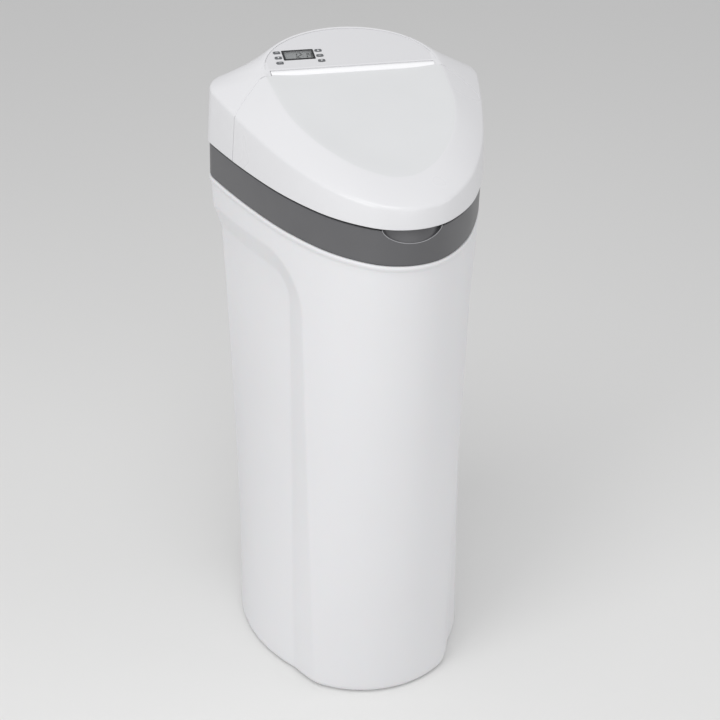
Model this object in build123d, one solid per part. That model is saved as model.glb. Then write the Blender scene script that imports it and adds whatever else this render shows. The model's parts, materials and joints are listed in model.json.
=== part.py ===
"""Cabinet water softener: a salt tank with a hinged lid, a control head and a resin tank inside.

Lengths are in millimetres and angles in degrees. +Z is up, the front faces -Y, and the origin is on
the floor, under the middle of the cabinet. Plan distances named "front" are counted along Y.
"""
from build123d import *
import os
from math import asin, atan2, cos, degrees, hypot, pi, radians, sin, sqrt, tan

# Cabinet plan at the edge of the lid: nose, sides, corners and back are tangent arcs
front_y = -232.0
nose_r = 94.0
side_r = 1000.0
corner_r = 50.0
corner_x = 174.544
corner_y = 154.925
back_r = 600.0

# Plan of the salt tank at the floor: blunter in front and rounder at the sides
foot_setback = 20.0
foot_nose_r = 178.0
foot_side_r = 278.0
foot_corner_r = 90.0
foot_corner_x = 109.333
foot_corner_y = 96.029
foot_back_r = 350.0

# Salt tank walls and levels
tank_wall = 4.0
tank_shoulder_z = 832.0
tank_lip_h = 48.0
tank_edge_r = 12.0
tank_shoulder_inset = 5.0
tank_lip_inset = 7.5
recess_depth = 9.0
recess_front = 76.0
recess_front_drop = 42.0
recess_back_rise = 4.0
recess_corner_r = 78.0

# Rim band round the top of the tank, with the finger pull under the front of the lid
band_inset = 3.0
band_flange = 24.0
seat_rise = 10.0
seat_gap = 0.3
pull_half_w = 46.0
pull_drop = 22.0
pull_depth = 11.0
pull_wall = 2.5
notch_clear = 7.5

# Hood: wall with a slight draft, a crease line, and a sloping top
hood_wall = 3.0
crease_inset = 4.0
crease_rise = 60.6
crease_back = 199.4
crease_slope_share = 0.1444
scoop_front = 62.0
scoop_nose_r = 80.0
scoop_side_r = 360.0
scoop_corner_r = 40.0
scoop_corner_x = 102.393
scoop_corner_y = 134.516
scoop_back_r = 500.0
scoop_rise = 49.0
scoop_back = 34.0
scoop_slope_share = 0.239

# Split between the lid and the console, and the hinge under the front edge of the facia
split_foot_lead = 41.0
split_step_lead = 14.0
split_step_drop = 8.0
split_gap = 1.0
hinge_lead = 6.0
hinge_drop = 7.0
barrel_r = 7.0
barrel_half = 134.0
barrel_gap = 0.9
pin_r = 2.5
pin_len = 18.0
pin_clear = 0.05
pin_seat = 6.0
ear_t = 7.0
ear_h = 17.0
ear_back = 26.0

# Facia: a D-shaped panel let into the top of the console
facia_back = 113.356
facia_rise = 125.0
facia_tilt = 19.0
facia_half_w = 146.0
facia_depth = 100.0
facia_rim = 5.0
facia_sink = 1.2
facia_t = 2.3
facia_front = 3.0
facia_gap = 0.2
console_top_t = 5.0
bay_left_u = -121.5
bay_right_u = 44.0
bay_low_v = 11.0
bay_high_v = 48.5
bay_round = 6.0

# Display and buttons, placed from the middle of the front edge of the facia
display_u = -79.8
display_v = 35.5
window_w = 52.0
window_h = 25.0
window_t = 1.6
window_gap = 0.15
window_lip = 2.0
module_w = 53.0
module_h = 24.0
module_t = 6.0
button_left_u = -113.7
button_right_u = -45.9
button_first_v = 17.4
button_pitch = 12.8
button_w = 11.5
button_h = 6.0
button_round = 2.0
button_proud = 1.0
button_gap = 0.2
button_flange = 0.8
button_flange_t = 1.0
button_stem_r = 1.8
button_travel = 1.0
board_w = 160.0
board_h = 36.0
board_t = 1.6
board_drop = 14.0
board_u = -38.5
board_v = 29.8
board_stem = 7.0
standoff_r = 3.2
standoff_near_u = -34.0
standoff_far_u = 36.0
standoff_rise = 13.0

# Resin tank and what stands in it
resin_back = 135.356
resin_r = 98.0
resin_wall = 3.0
resin_floor_z = 10.0
resin_dome_h = 52.0
neck_r = 31.0
neck_bore_r = 28.0
neck_drop = 20.0
neck_h = 28.0
neck_lip_r = 34.0
neck_lip_h = 6.0
tank_foot_r = 84.0
tank_foot_in_r = 62.0
tank_foot_h = 30.0
riser_r = 13.3
riser_wall = 1.8
riser_foot_z = 58.0
basket_r = 24.0
basket_h = 46.0
basket_wall = 2.5
basket_foot_z = 18.0
basket_slots = 14
basket_slot_w = 3.0
cone_r = 24.0
cone_h = 16.0
cone_wall = 2.0
bed_top_z = 540.0
loose = 0.3

# Valve body on the neck
valve_flange_h = 6.0
spigot_r = 27.6
spigot_h = 16.0
seal_groove_r = 24.6
seal_groove_h = 3.6
seal_groove_drop = 6.0
seal_ring_r = 1.5
clamp_r = 45.0
clamp_ear = 11.0
clamp_ear_t = 9.0
clamp_over = 5.0
clamp_slit = 2.0
chamber_rise = 8.0
chamber_r = 60.0
chamber_h = 42.0
chamber_bore_r = 48.0
chamber_floor = 11.0
cover_t = 8.0
cover_rib_t = 3.0
gasket_in_r = 49.0
gasket_out_r = 50.6
gasket_h = 1.6
screw_ring_r = 54.5
screw_count = 6
screw_r = 1.9
screw_len = 17.0
screw_head_r = 3.4
screw_head_h = 2.6
port_x = 40.0
port_rise = 21.0
port_r = 15.0
port_bore_r = 11.0
port_len = 103.0
port_socket_r = 13.2
port_socket_h = 16.0
drain_x = -104.0
drain_arm_r = 8.0
drain_bore_r = 4.5

# Rotor, cam gear and the motor drive on top
rotor_r = 46.5
rotor_t = 10.0
rotor_lift = 0.3
rotor_shaft_r = 8.0
rotor_windows = 3
rotor_window_r = 30.0
rotor_window_w = 11.0
rotor_window_angle = 60.0
run_clear = 0.06
gear_module = 2.0
gear_teeth = 44
pinion_teeth = 11
pressure_angle = 20.0
root_share = 1.25
gear_t = 8.0
gear_lift = 3.0
gear_backlash = 0.5
gear_mesh_gap = 0.4
gear_hub_r = 13.0
gear_web_t = 3.0
gear_rim = 5.0
gear_spokes = 5
cam_r = 31.0
cam_wall = 4.0
cam_h = 4.0
cam_notches = 4
cam_notch_depth = 2.0
cam_notch_angle = 20.0
pinion_angle = 58.0
pinion_shaft_r = 3.0
pinion_over = 1.0
plate_gap = 2.0
plate_t = 3.0
post_r = 3.6
post_ring_r = 53.5
posts = 3
post_lag_angle = 96.0
motor_r = 24.0
motor_h = 21.0
motor_offset = 9.0
motor_ear = 7.0
motor_boss_h = 2.0
switch_w = 19.0
switch_d = 11.0
switch_h = 4.3
switch_nose = 2.4

# Venturi, brine well, brine valve and the brine tube
venturi_x = -52.0
venturi_lead = 64.0
venturi_r = 18.0
venturi_drop = 5.0
venturi_h = 24.0
venturi_cap_r = 20.5
venturi_cap_h = 13.0
venturi_cap_ribs = 16
venturi_cap_rib = 1.4
venturi_arm_r = 8.0
venturi_spigot_r = 5.0
venturi_spigot_h = 14.0
well_x = -92.0
well_lead = 128.0
well_r = 42.0
well_wall = 2.0
well_drop = 90.0
well_cap_t = 3.0
well_cap_skirt = 10.0
well_slots = 8
well_slot_w = 5.0
well_slot_h = 60.0
valve_house_r = 20.0
valve_house_h = 44.0
pickup_r = 5.0
pickup_bore_r = 3.5
pickup_over = 22.0
float_r = 26.0
float_bore_r = 6.5
float_h = 34.0
float_z = 300.0
float_rod_r = 2.0
float_rod_x = 12.0
float_rod_dip = 26.0
float_rod_gap = 2.0
hose_r = 6.4
hose_rise = 40.0
hose_bend_r = 14.0
hose_over = 10.0

# Ports through the back: adapters, clips, bypass, drain, overflow and the power lead's grommet
adapter_r = 13.0
adapter_bore_r = 9.5
adapter_len = 64.0
clip_r = 17.5
clip_t = 3.0
clip_gap = 0.2
turbine_r = 9.0
turbine_len = 12.0
turbine_hub_r = 3.0
turbine_blades = 6
turbine_blade_t = 1.0
turbine_pitch_turn = 35.0
turbine_shaft_r = 1.2
spider_t = 3.0
spider_hub_r = 2.6
spider_arm = 1.4
spider_arms = 3
spider_angle = 30.0
bypass_start = 14.0
bypass_r = 17.0
bypass_len = 38.0
bypass_bore_r = 9.5
bypass_barrel_r = 15.5
bypass_barrel_half = 58.0
bypass_mid = 26.0
stem_r = 10.0
stem_waist_r = 6.0
stem_clear = 0.05
stem_half = 60.0
stem_land = 12.0
stem_travel = 14.0
knob_r = 14.0
knob_t = 8.0
tail_r = 13.2
tail_len = 20.0
tail_collar_r = 16.0
tail_gap = 1.0
back_window_half = 118.0
back_window_z = 16.0
back_window_h = 38.0
drain_len = 80.0
barb_r = 6.3
barb_len = 26.0
overflow_x = 118.0
overflow_below = 132.0
overflow_r = 7.0
overflow_bore_r = 5.0
overflow_in = 16.0
overflow_out = 22.0
overflow_drop = 26.0
overflow_bend_r = 9.0
grommet_r = 10.0
grommet_lip = 3.0
grommet_lip_t = 2.0
power_x = 132.0
power_r = 6.0
power_bore_r = 3.0
power_lip = 2.0
over = 60.0
reach = 900.0
on_end = (Align.CENTER, Align.CENTER, Align.MIN)


class Plan:
    """Egg-shaped outline: a nose arc, two side arcs, two corner arcs and a back arc, all tangent."""

    def __init__(self, front, nose, side, corner, corner_at, back):
        self.front, self.nose, self.side, self.corner, self.back = front, nose, side, corner, back
        self.c1, self.c3 = (0.0, front + nose), corner_at
        self.c2 = self.meet(self.c1, side - nose, self.c3, side - corner)
        self.c4 = (0.0, self.c3[1] - sqrt((back - corner) ** 2 - self.c3[0] ** 2))
        self.a1 = degrees(atan2(self.c1[1] - self.c2[1], self.c1[0] - self.c2[0]))
        self.a2 = degrees(atan2(self.c3[1] - self.c2[1], self.c3[0] - self.c2[0]))
        self.a3 = degrees(atan2(self.c3[1] - self.c4[1], self.c3[0]))

    @staticmethod
    def meet(a, ra, b, rb):
        """Where two circles cross, on the left of the way from the first centre to the second."""
        dx, dy = b[0] - a[0], b[1] - a[1]
        gap = hypot(dx, dy)
        ahead = (ra ** 2 - rb ** 2 + gap ** 2) / (2 * gap)
        aside = sqrt(ra ** 2 - ahead ** 2)
        return (a[0] + (ahead * dx - aside * dy) / gap, a[1] + (ahead * dy + aside * dx) / gap)

    @staticmethod
    def along(point, angle, distance):
        """The point at a distance from another, in the direction of an angle."""
        return (point[0] + distance * cos(radians(angle)), point[1] + distance * sin(radians(angle)))

    def stations(self, inset):
        """Points round the right half of the outline, from the front to the back."""
        side, corner, back = self.side - inset, self.corner - inset, self.back - inset
        return [
            (0.0, self.front + inset),
            self.along(self.c1, self.a1, self.nose - inset),
            self.along(self.c2, (self.a1 + self.a2) / 2, side),
            self.along(self.c2, self.a2, side),
            self.along(self.c3, (self.a2 + self.a3) / 2, corner),
            self.along(self.c3, self.a3, corner),
            (0.0, self.c4[1] + back),
        ]

    def rear(self, inset):
        """Furthest Y of the outline."""
        return self.c4[1] + self.back - inset

    def back_point(self, x, inset):
        """Point and outward angle of the back arc at a given X."""
        r = self.back - inset
        angle = degrees(asin(x / r))
        return (x, self.c4[1] + r * cos(radians(angle))), angle


def ring_face(stations, level):
    """Face through the stations of an outline, each point raised by level(y)."""
    f, p1, m1, p2, m2, p3, b = [Vector(x, y, level(y)) for x, y in stations]
    left = [Vector(-v.X, v.Y, v.Z) for v in (p1, m1, p2, m2, p3)]
    q1, n1, q2, n2, q3 = left
    edges = [
        ThreePointArc(q1, f, p1), ThreePointArc(p1, m1, p2), ThreePointArc(p2, m2, p3),
        ThreePointArc(p3, b, q3), ThreePointArc(q3, n2, q2), ThreePointArc(q2, n1, q1),
    ]
    return Face(Wire(edges))


def flat(z):
    """Level function of a horizontal section."""
    return lambda y: z


def sloped(z, at_y, slope):
    """Level function of a section that rises towards the back."""
    return lambda y: z + (y - at_y) * slope


def skin(sections):
    """Solid with straight rules between the sections."""
    return loft(sections, ruled=True)


def cyl(r, z0, z1, x=0.0, y=0.0):
    """Upright cylinder between two heights."""
    return Pos(x, y, z0) * Cylinder(r, z1 - z0, align=on_end)


def cyl_x(r, x0, x1, y, z):
    """Cylinder along X."""
    return Location((x0, y, z), (0, 90, 0)) * Cylinder(r, x1 - x0, align=on_end)


def cyl_y(r, y0, y1, x, z):
    """Cylinder along Y."""
    return Location((x, y0, z), (-90, 0, 0)) * Cylinder(r, y1 - y0, align=on_end)


def block(x0, x1, y0, y1, z0, z1):
    """Box between two corners."""
    size = (x1 - x0, y1 - y0, z1 - z0)
    return Pos((x0 + x1) / 2, (y0 + y1) / 2, (z0 + z1) / 2) * Box(*size)


def turned(points, x=0.0, y=0.0):
    """Solid of revolution about an upright axis from (radius, height) points."""
    outline = make_face(Plane.XZ * Polyline(*[(r, z) for r, z in points], close=True))
    return Pos(x, y, 0) * revolve(outline, Axis.Z)


def tube_z(r, bore, z0, z1, x=0.0, y=0.0):
    """Upright tube."""
    return cyl(r, z0, z1, x, y) - cyl(bore, z0 - over, z1 + over, x, y)


def one(shape):
    """The shape as a single solid."""
    solids = shape.solids()
    return solids[0] if len(solids) == 1 else Compound(solids)


top_plan = Plan(front_y, nose_r, side_r, corner_r, (corner_x, corner_y), back_r)
foot_plan = Plan(front_y + foot_setback, foot_nose_r, foot_side_r, foot_corner_r,
                 (foot_corner_x, foot_corner_y), foot_back_r)
scoop_plan = Plan(front_y + scoop_front, scoop_nose_r, scoop_side_r, scoop_corner_r,
                  (scoop_corner_x, scoop_corner_y), scoop_back_r)

# Levels from the tank's shoulder up, and places from the back wall forward
lip_top_z = tank_shoulder_z + tank_lip_h
lid_seat_z = lip_top_z + seat_rise
band_top_z = lid_seat_z - seat_gap
crease_z, crease_at_y = lid_seat_z + crease_rise, front_y + crease_back
scoop_z, scoop_at_y = lid_seat_z + scoop_rise, front_y + scoop_back
facia_y, facia_z = top_plan.rear(0) - facia_back, lid_seat_z + facia_rise
split_foot_y = facia_y - split_foot_lead
split_step_y, split_step_z = facia_y - split_step_lead, facia_z - split_step_drop
hinge_y, hinge_z = facia_y - hinge_lead, facia_z - hinge_drop
resin_y = top_plan.rear(0) - resin_back
neck_top_z = lid_seat_z - neck_drop
neck_root_z = neck_top_z - neck_h
chamber_z = neck_top_z + valve_flange_h + chamber_rise
chamber_top_z = chamber_z + chamber_h
port_z = chamber_z + port_rise
venturi_y, venturi_z = resin_y - venturi_lead, port_z - venturi_drop
well_y, well_top_z = resin_y - well_lead, lid_seat_z - well_drop
pickup_top_z = well_top_z + pickup_over
hose_z = pickup_top_z + hose_rise
overflow_z = tank_shoulder_z - overflow_below
facia_plane = Plane(origin=(0, facia_y, facia_z), x_dir=(1, 0, 0),
                    z_dir=(0, -sin(radians(facia_tilt)), cos(radians(facia_tilt))))


def tank_form(inset, foot_z, top_z):
    """Solid of the salt tank's outer form, all round smaller by an inset."""
    sections = []
    steps = 3
    for step in range(steps + 1):
        turn = radians(90 * step / steps)
        edge = tank_edge_r * (1 - sin(turn))
        rise = tank_edge_r * (1 - cos(turn))
        sections.append(ring_face(foot_plan.stations(inset + edge), flat(foot_z + rise)))
    sections.append(ring_face(top_plan.stations(inset + tank_shoulder_inset), flat(top_z)))
    return skin(sections)


def recess_region(grow):
    """Space behind and below the soft step in the tank's sides."""
    y0 = front_y + recess_front - grow
    y1 = top_plan.rear(0) + over
    z0 = tank_shoulder_z - recess_front_drop + grow
    z1 = tank_shoulder_z + recess_back_rise + grow
    outline = make_face(Polyline((y0, -over), (y0, z0), (y1, z1), (y1, -over), close=True))
    corner = outline.vertices().group_by(Axis.X)[0].sort_by(Axis.Y)[-1]
    outline = fillet(corner, recess_corner_r + grow)
    return extrude(Plane.YZ * outline, reach / 2, both=True)


def brine_tank():
    """Salt tank: open tub with a lip, and sides set in behind the front column."""
    outer = tank_form(0, 0, tank_shoulder_z) - recess_region(0)
    outer += tank_form(recess_depth, 0, tank_shoulder_z)
    inner = tank_form(tank_wall, tank_wall, tank_shoulder_z) - recess_region(tank_wall)
    inner += tank_form(recess_depth + tank_wall, tank_wall, tank_shoulder_z)
    lip = extrude(ring_face(top_plan.stations(tank_lip_inset), flat(tank_shoulder_z - tank_wall)),
                  tank_wall + tank_lip_h, dir=(0, 0, 1))
    mouth = extrude(ring_face(top_plan.stations(tank_lip_inset + tank_wall), flat(tank_shoulder_z)),
                    tank_lip_h + over, dir=(0, 0, 1))
    throat = extrude(ring_face(top_plan.stations(tank_lip_inset + recess_depth + tank_wall),
                               flat(tank_shoulder_z - 2 * tank_wall)), over, dir=(0, 0, 1))
    tub = outer + lip - inner - mouth - throat
    notch = block(-pull_half_w - notch_clear, pull_half_w + notch_clear, front_y - over,
                  front_y + over, lip_top_z - pull_drop - notch_clear, lip_top_z + over)
    (x, y), angle = wall_spot(overflow_x)
    hole = Location((x, y, overflow_z), (0, 0, -angle)) * cyl_y(grommet_r, -over / 2, over / 2, 0.0, 0.0)
    return one(tub - notch - hole)


def wall_spot(x):
    """Outer point and outward turn of the tank's back wall at the overflow's height."""
    share = overflow_z / tank_shoulder_z
    low, low_turn = foot_plan.back_point(x, recess_depth)
    high, high_turn = top_plan.back_point(x, recess_depth + tank_shoulder_inset)
    y = low[1] + (high[1] - low[1]) * share
    return (x, y), low_turn + (high_turn - low_turn) * share


def rim_band():
    """Grey collar over the tank's lip, with a landing for the lid and the finger pull in front."""
    def ring(inset, z0, z1):
        return extrude(ring_face(top_plan.stations(inset), flat(z0)), z1 - z0, dir=(0, 0, 1))
    inner = tank_lip_inset - seat_gap
    wall = ring(band_inset, tank_shoulder_z, band_top_z) - ring(inner, tank_shoulder_z - over, lip_top_z)
    wall -= ring(band_inset + band_flange, lip_top_z - over, band_top_z + over)
    pocket = pull_form(pull_wall) & ring(band_inset, tank_shoulder_z, band_top_z)
    return one(wall + pocket - pull_form(0.0))


def pull_form(grow):
    """Half-round finger pull cut in from the front, grown all round."""
    half_w = pull_half_w + grow
    outline = Ellipse(half_w, pull_drop + grow)
    outline -= Rectangle(reach, reach, align=(Align.CENTER, Align.MIN))
    if not grow:
        outline += Rectangle(2 * half_w, over, align=(Align.CENTER, Align.MIN))
    back = Plane(origin=(0, front_y + pull_depth + grow, band_top_z), x_dir=(1, 0, 0), z_dir=(0, -1, 0))
    return extrude(back * outline, pull_depth + grow + over)


def hood_form(inset, drop):
    """Sections of the hood's wall: the seat level and the crease."""
    seat = ring_face(top_plan.stations(inset), flat(lid_seat_z - (over if drop else 0.0)))
    level = sloped(crease_z - drop / 2, crease_at_y, crease_slope_share)
    crease = ring_face(top_plan.stations(crease_inset + inset), level)
    return [seat, crease]


def lid_form(inset, drop):
    """Solid under the sloping top of the lid."""
    top = ring_face(scoop_plan.stations(inset), sloped(scoop_z - drop, scoop_at_y, scoop_slope_share))
    return skin(hood_form(inset, drop) + [top])


def console_form(inset, drop):
    """Solid under the top of the console, which ends in the round of the facia."""
    turns = (-90, -30, -5, 20, 45, 65, 90)
    half_w, depth = facia_half_w - inset, facia_depth - inset
    points = [(half_w * cos(radians(t)), depth * sin(radians(t))) for t in turns]
    lean = radians(facia_tilt)
    spots = [(u, facia_y + v * cos(lean) + drop * sin(lean)) for u, v in points]
    top = ring_face(spots, sloped(facia_z - drop / cos(lean), facia_y, tan(lean)))
    return skin(hood_form(inset, drop) + [top])


def split_region(gap):
    """Space behind the split between the lid and the console."""
    foot = lid_seat_z - over
    lean = (split_step_y - split_foot_y) / (split_step_z - lid_seat_z)
    y0 = split_foot_y + gap - lean * over
    y1 = split_step_y + gap
    outline = make_face(Plane.YZ * Polyline((y0, foot), (y1, split_step_z), (y1, facia_z + over),
                                            (reach, facia_z + over), (reach, foot), close=True))
    return extrude(outline, reach / 2, both=True)


def salt_lid():
    """Hinged lid: a shell with a sloping scoop on top and the hinge barrel at its back edge."""
    shell = lid_form(0, 0) - lid_form(hood_wall, hood_wall)
    front = shell - split_region(-split_gap / 2)
    tongue = shell & block(-barrel_half, barrel_half, split_foot_y, hinge_y, hinge_z - barrel_r,
                           facia_z + over)
    tongue &= split_region(-split_gap / 2)
    tongue -= cyl_x(barrel_r, -reach, reach, hinge_y, hinge_z)
    barrel = cyl_x(barrel_r, -barrel_half, barrel_half, hinge_y, hinge_z)
    lid = front + tongue + barrel
    for side in (-1, 1):
        ends = [side * (barrel_half - pin_len + pin_seat - pin_r), side * (barrel_half + pin_len)]
        lid -= cyl_x(pin_r + pin_clear, *sorted(ends), hinge_y, hinge_z)
    return one(lid)


def hinge_pins():
    """Two pins pressed in the console's ears that carry the lid's barrel."""
    pins = []
    for side in (-1, 1):
        x0 = side * (barrel_half - (pin_len - pin_seat))
        pins.append(cyl_x(pin_r, *sorted((x0, x0 + side * pin_len)), hinge_y, hinge_z))
    return Compound([p.solids()[0] for p in pins])


def facia_outline(inset):
    """D-shaped sketch on the facia: half an ellipse closed by a straight front edge."""
    outline = Ellipse(facia_half_w - facia_rim - inset, facia_depth - facia_rim - inset)
    return outline - Pos(0, facia_front + inset) * Rectangle(reach, reach, align=(Align.CENTER, Align.MAX))


def on_facia(sketch, low, high):
    """Solid over a facia sketch between two heights above the facia plane."""
    return facia_plane.location * (Pos(0, 0, low) * extrude(sketch, high - low))


def top_cover():
    """Fixed rear half of the hood: walls, ears for the lid's pins, a seat for the facia, rear window."""
    outer = console_form(0, 0)
    shell = outer - console_form(hood_wall, console_top_t)
    shell &= split_region(split_gap / 2)
    front_void = block(-barrel_half - split_gap / 2, barrel_half + split_gap / 2, split_foot_y - over,
                       facia_y, hinge_z - ear_h, facia_z + over)
    shell -= front_void & split_region(0)
    inner = hinge_pins_span()
    for side in (-1, 1):
        x0, x1 = sorted((side * inner, side * (inner + ear_t)))
        ear = block(x0, x1, split_step_y, hinge_y + ear_back, hinge_z - ear_h, facia_z + over) & outer
        shell += ear & split_region(split_gap / 2)
    shell -= on_facia(facia_outline(0), -facia_sink - facia_t, over)
    bay = Pos((bay_left_u + bay_right_u) / 2, (bay_low_v + bay_high_v) / 2)
    bay *= RectangleRounded(bay_right_u - bay_left_u, bay_high_v - bay_low_v, bay_round)
    shell -= on_facia(bay, -over, over)
    shell -= cyl_x(barrel_r + barrel_gap, -inner, inner, hinge_y, hinge_z)
    for pin in hinge_pins().solids():
        shell -= pin
    window = block(-back_window_half, back_window_half, top_plan.rear(0) - over, top_plan.rear(0) + over,
                   lid_seat_z - over, port_z - back_window_z + back_window_h)
    shell -= window
    shell -= cyl_y(power_r, top_plan.rear(0) - over, top_plan.rear(0) + over, power_x, port_z)
    return one(shell)


def hinge_pins_span():
    """Inner face of the ears, a gap beyond the barrel."""
    return barrel_half + split_gap / 2


def button_spots():
    """Names and facia places of the six buttons."""
    spots = []
    for side, u in (("left", button_left_u), ("right", button_right_u)):
        for row, place in enumerate(("front", "middle", "rear")):
            spots.append((f"button_{side}_{place}", u, button_first_v + row * button_pitch))
    return spots


def round_rect(w, h, r, u, v):
    """Sketch of a rounded rectangle at a facia place."""
    return Pos(u, v) * RectangleRounded(w, h, r)


def standoff_spots():
    """Facia places of the four board standoffs."""
    return [(u, board_v + row * standoff_rise) for u in (standoff_near_u, standoff_far_u) for row in (-1, 1)]


def facia_panel():
    """D-shaped panel with the display opening, button slots and the board's standoffs."""
    plate = on_facia(facia_outline(facia_gap), -facia_sink - facia_t, -facia_sink)
    low, high = -facia_sink - facia_t, -facia_sink
    seat = RectangleRounded(window_w + 2 * window_gap, window_h + 2 * window_gap, button_round)
    plate -= on_facia(Pos(display_u, display_v) * seat, high - window_t, over / 2)
    view = RectangleRounded(window_w - 2 * window_lip, window_h - 2 * window_lip, button_round)
    plate -= on_facia(Pos(display_u, display_v) * view, -over / 2, over / 2)
    for _, u, v in button_spots():
        slot = round_rect(button_w + 2 * button_gap, button_h + 2 * button_gap, button_round + button_gap,
                          u, v)
        plate -= on_facia(slot, -over / 2, over / 2)
    for u, v in standoff_spots():
        plate += on_facia(Pos(u, v) * Circle(standoff_r), low - board_drop, low)
    return one(plate)


def display_window():
    """Clear window let into the facia."""
    pane = Pos(display_u, display_v) * RectangleRounded(window_w, window_h, button_round - window_gap)
    return one(on_facia(pane, -facia_sink - window_t, -facia_sink))


def display_module():
    """Liquid crystal display block between the window and the board."""
    pane = Pos(display_u, display_v) * Rectangle(module_w, module_h)
    top = -facia_sink - facia_t
    foot = Pos(display_u, display_v) * Rectangle(module_w / 2, module_h / 2)
    legs = on_facia(foot, top - board_drop, top - module_t)
    return one(on_facia(pane, top - module_t, top) + legs)


def control_board():
    """Circuit board on the facia's standoffs, with its switches and plug blocks."""
    top = -facia_sink - facia_t - board_drop
    board = on_facia(Pos(board_u, board_v) * Rectangle(board_w, board_h), top - board_t, top)
    rise = board_drop - seat_gap - button_flange_t - board_stem - button_travel - seat_gap
    for _, u, v in button_spots():
        board += on_facia(Pos(u, v) * Rectangle(button_h, button_h), top, top + rise)
    return one(board)


def button(u, v):
    """Push button: cap, flange that keeps it under the facia, and stem."""
    under = -facia_sink - facia_t - seat_gap
    cap = on_facia(round_rect(button_w, button_h, button_round, u, v), under - button_flange_t,
                   -facia_sink + button_proud)
    flange = round_rect(button_w + 2 * button_flange, button_h + 2 * button_flange, button_round, u, v)
    body = cap + on_facia(flange, under - button_flange_t, under)
    body += on_facia(Pos(u, v) * Circle(button_stem_r), under - button_flange_t - board_stem, under)
    return one(body)


def vessel(r, wall, floor, dome, neck_root):
    """Form of the resin tank: two elliptical domes on a cylinder, revolved about its axis."""
    low, high = floor + dome, neck_root - dome
    with BuildSketch(Plane.XZ) as half:
        with BuildLine():
            Line((0, floor + wall), (0, neck_root - wall))
            EllipticalCenterArc((0, high), r - wall, dome - wall, start_angle=0)
            Line((r - wall, high), (r - wall, low))
            EllipticalCenterArc((0, low), r - wall, dome - wall, start_angle=270)
        make_face()
    return Pos(0, resin_y, 0) * revolve(half.sketch, Axis.Z)


def resin_tank():
    """Wound pressure vessel with a necked top."""
    body = vessel(resin_r, 0, resin_floor_z, resin_dome_h, neck_root_z)
    body += cyl(neck_r, neck_root_z - resin_dome_h / 2, neck_top_z, 0, resin_y)
    body += cyl(neck_lip_r, neck_top_z - neck_lip_h, neck_top_z, 0, resin_y)
    body -= vessel(resin_r, resin_wall, resin_floor_z, resin_dome_h, neck_root_z)
    body -= cyl(neck_bore_r, neck_root_z - resin_dome_h / 2, neck_top_z + over, 0, resin_y)
    return one(body)


def tank_foot():
    """Ring that carries the round end of the resin tank."""
    ring = tube_z(tank_foot_r, tank_foot_in_r, tank_wall, tank_wall + tank_foot_h, 0, resin_y)
    return one(ring - vessel(resin_r, -loose, resin_floor_z, resin_dome_h, neck_root_z))


def riser_tube():
    """Pipe from the bottom basket up into the valve."""
    return one(tube_z(riser_r, riser_r - riser_wall, riser_foot_z, neck_top_z - spigot_h, 0, resin_y))


def bottom_distributor():
    """Slotted basket at the foot of the riser."""
    body = cyl(basket_r, basket_foot_z, basket_foot_z + basket_h, 0, resin_y)
    body -= cyl(basket_r - basket_wall, basket_foot_z + basket_wall, riser_foot_z, 0, resin_y)
    body -= cyl(riser_r, riser_foot_z - basket_wall, basket_foot_z + basket_h + over, 0, resin_y)
    slot_h = riser_foot_z - basket_foot_z - 4 * basket_wall
    for i in range(basket_slots):
        cut = block(basket_r / 2, basket_r + over, -basket_slot_w / 2, basket_slot_w / 2,
                    basket_foot_z + 2 * basket_wall, basket_foot_z + 2 * basket_wall + slot_h)
        body -= Pos(0, resin_y, 0) * (Rot(0, 0, 360 * i / basket_slots) * cut)
    return one(body)


def top_distributor():
    """Cone round the riser under the valve."""
    z1 = neck_top_z - spigot_h
    z0 = z1 - cone_h
    form = turned([(riser_r, z0), (cone_r, z0), (neck_bore_r - 2 * loose, z1), (riser_r, z1)], 0, resin_y)
    form -= turned([(riser_r, z0 - cone_wall), (cone_r - cone_wall, z0 - cone_wall),
                    (cone_r - cone_wall, z0 + cone_wall), (riser_r, z1 - cone_wall)], 0, resin_y)
    return one(form)


def resin_bed():
    """Bed of resin in the lower part of the vessel."""
    bed = vessel(resin_r, resin_wall + loose, resin_floor_z, resin_dome_h, neck_root_z)
    bed &= block(-reach, reach, -reach, reach, 0, bed_top_z)
    bed -= cyl(basket_r + loose, 0, basket_foot_z + basket_h + loose, 0, resin_y)
    bed -= cyl(riser_r + loose, 0, bed_top_z + over, 0, resin_y)
    return one(bed)


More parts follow.
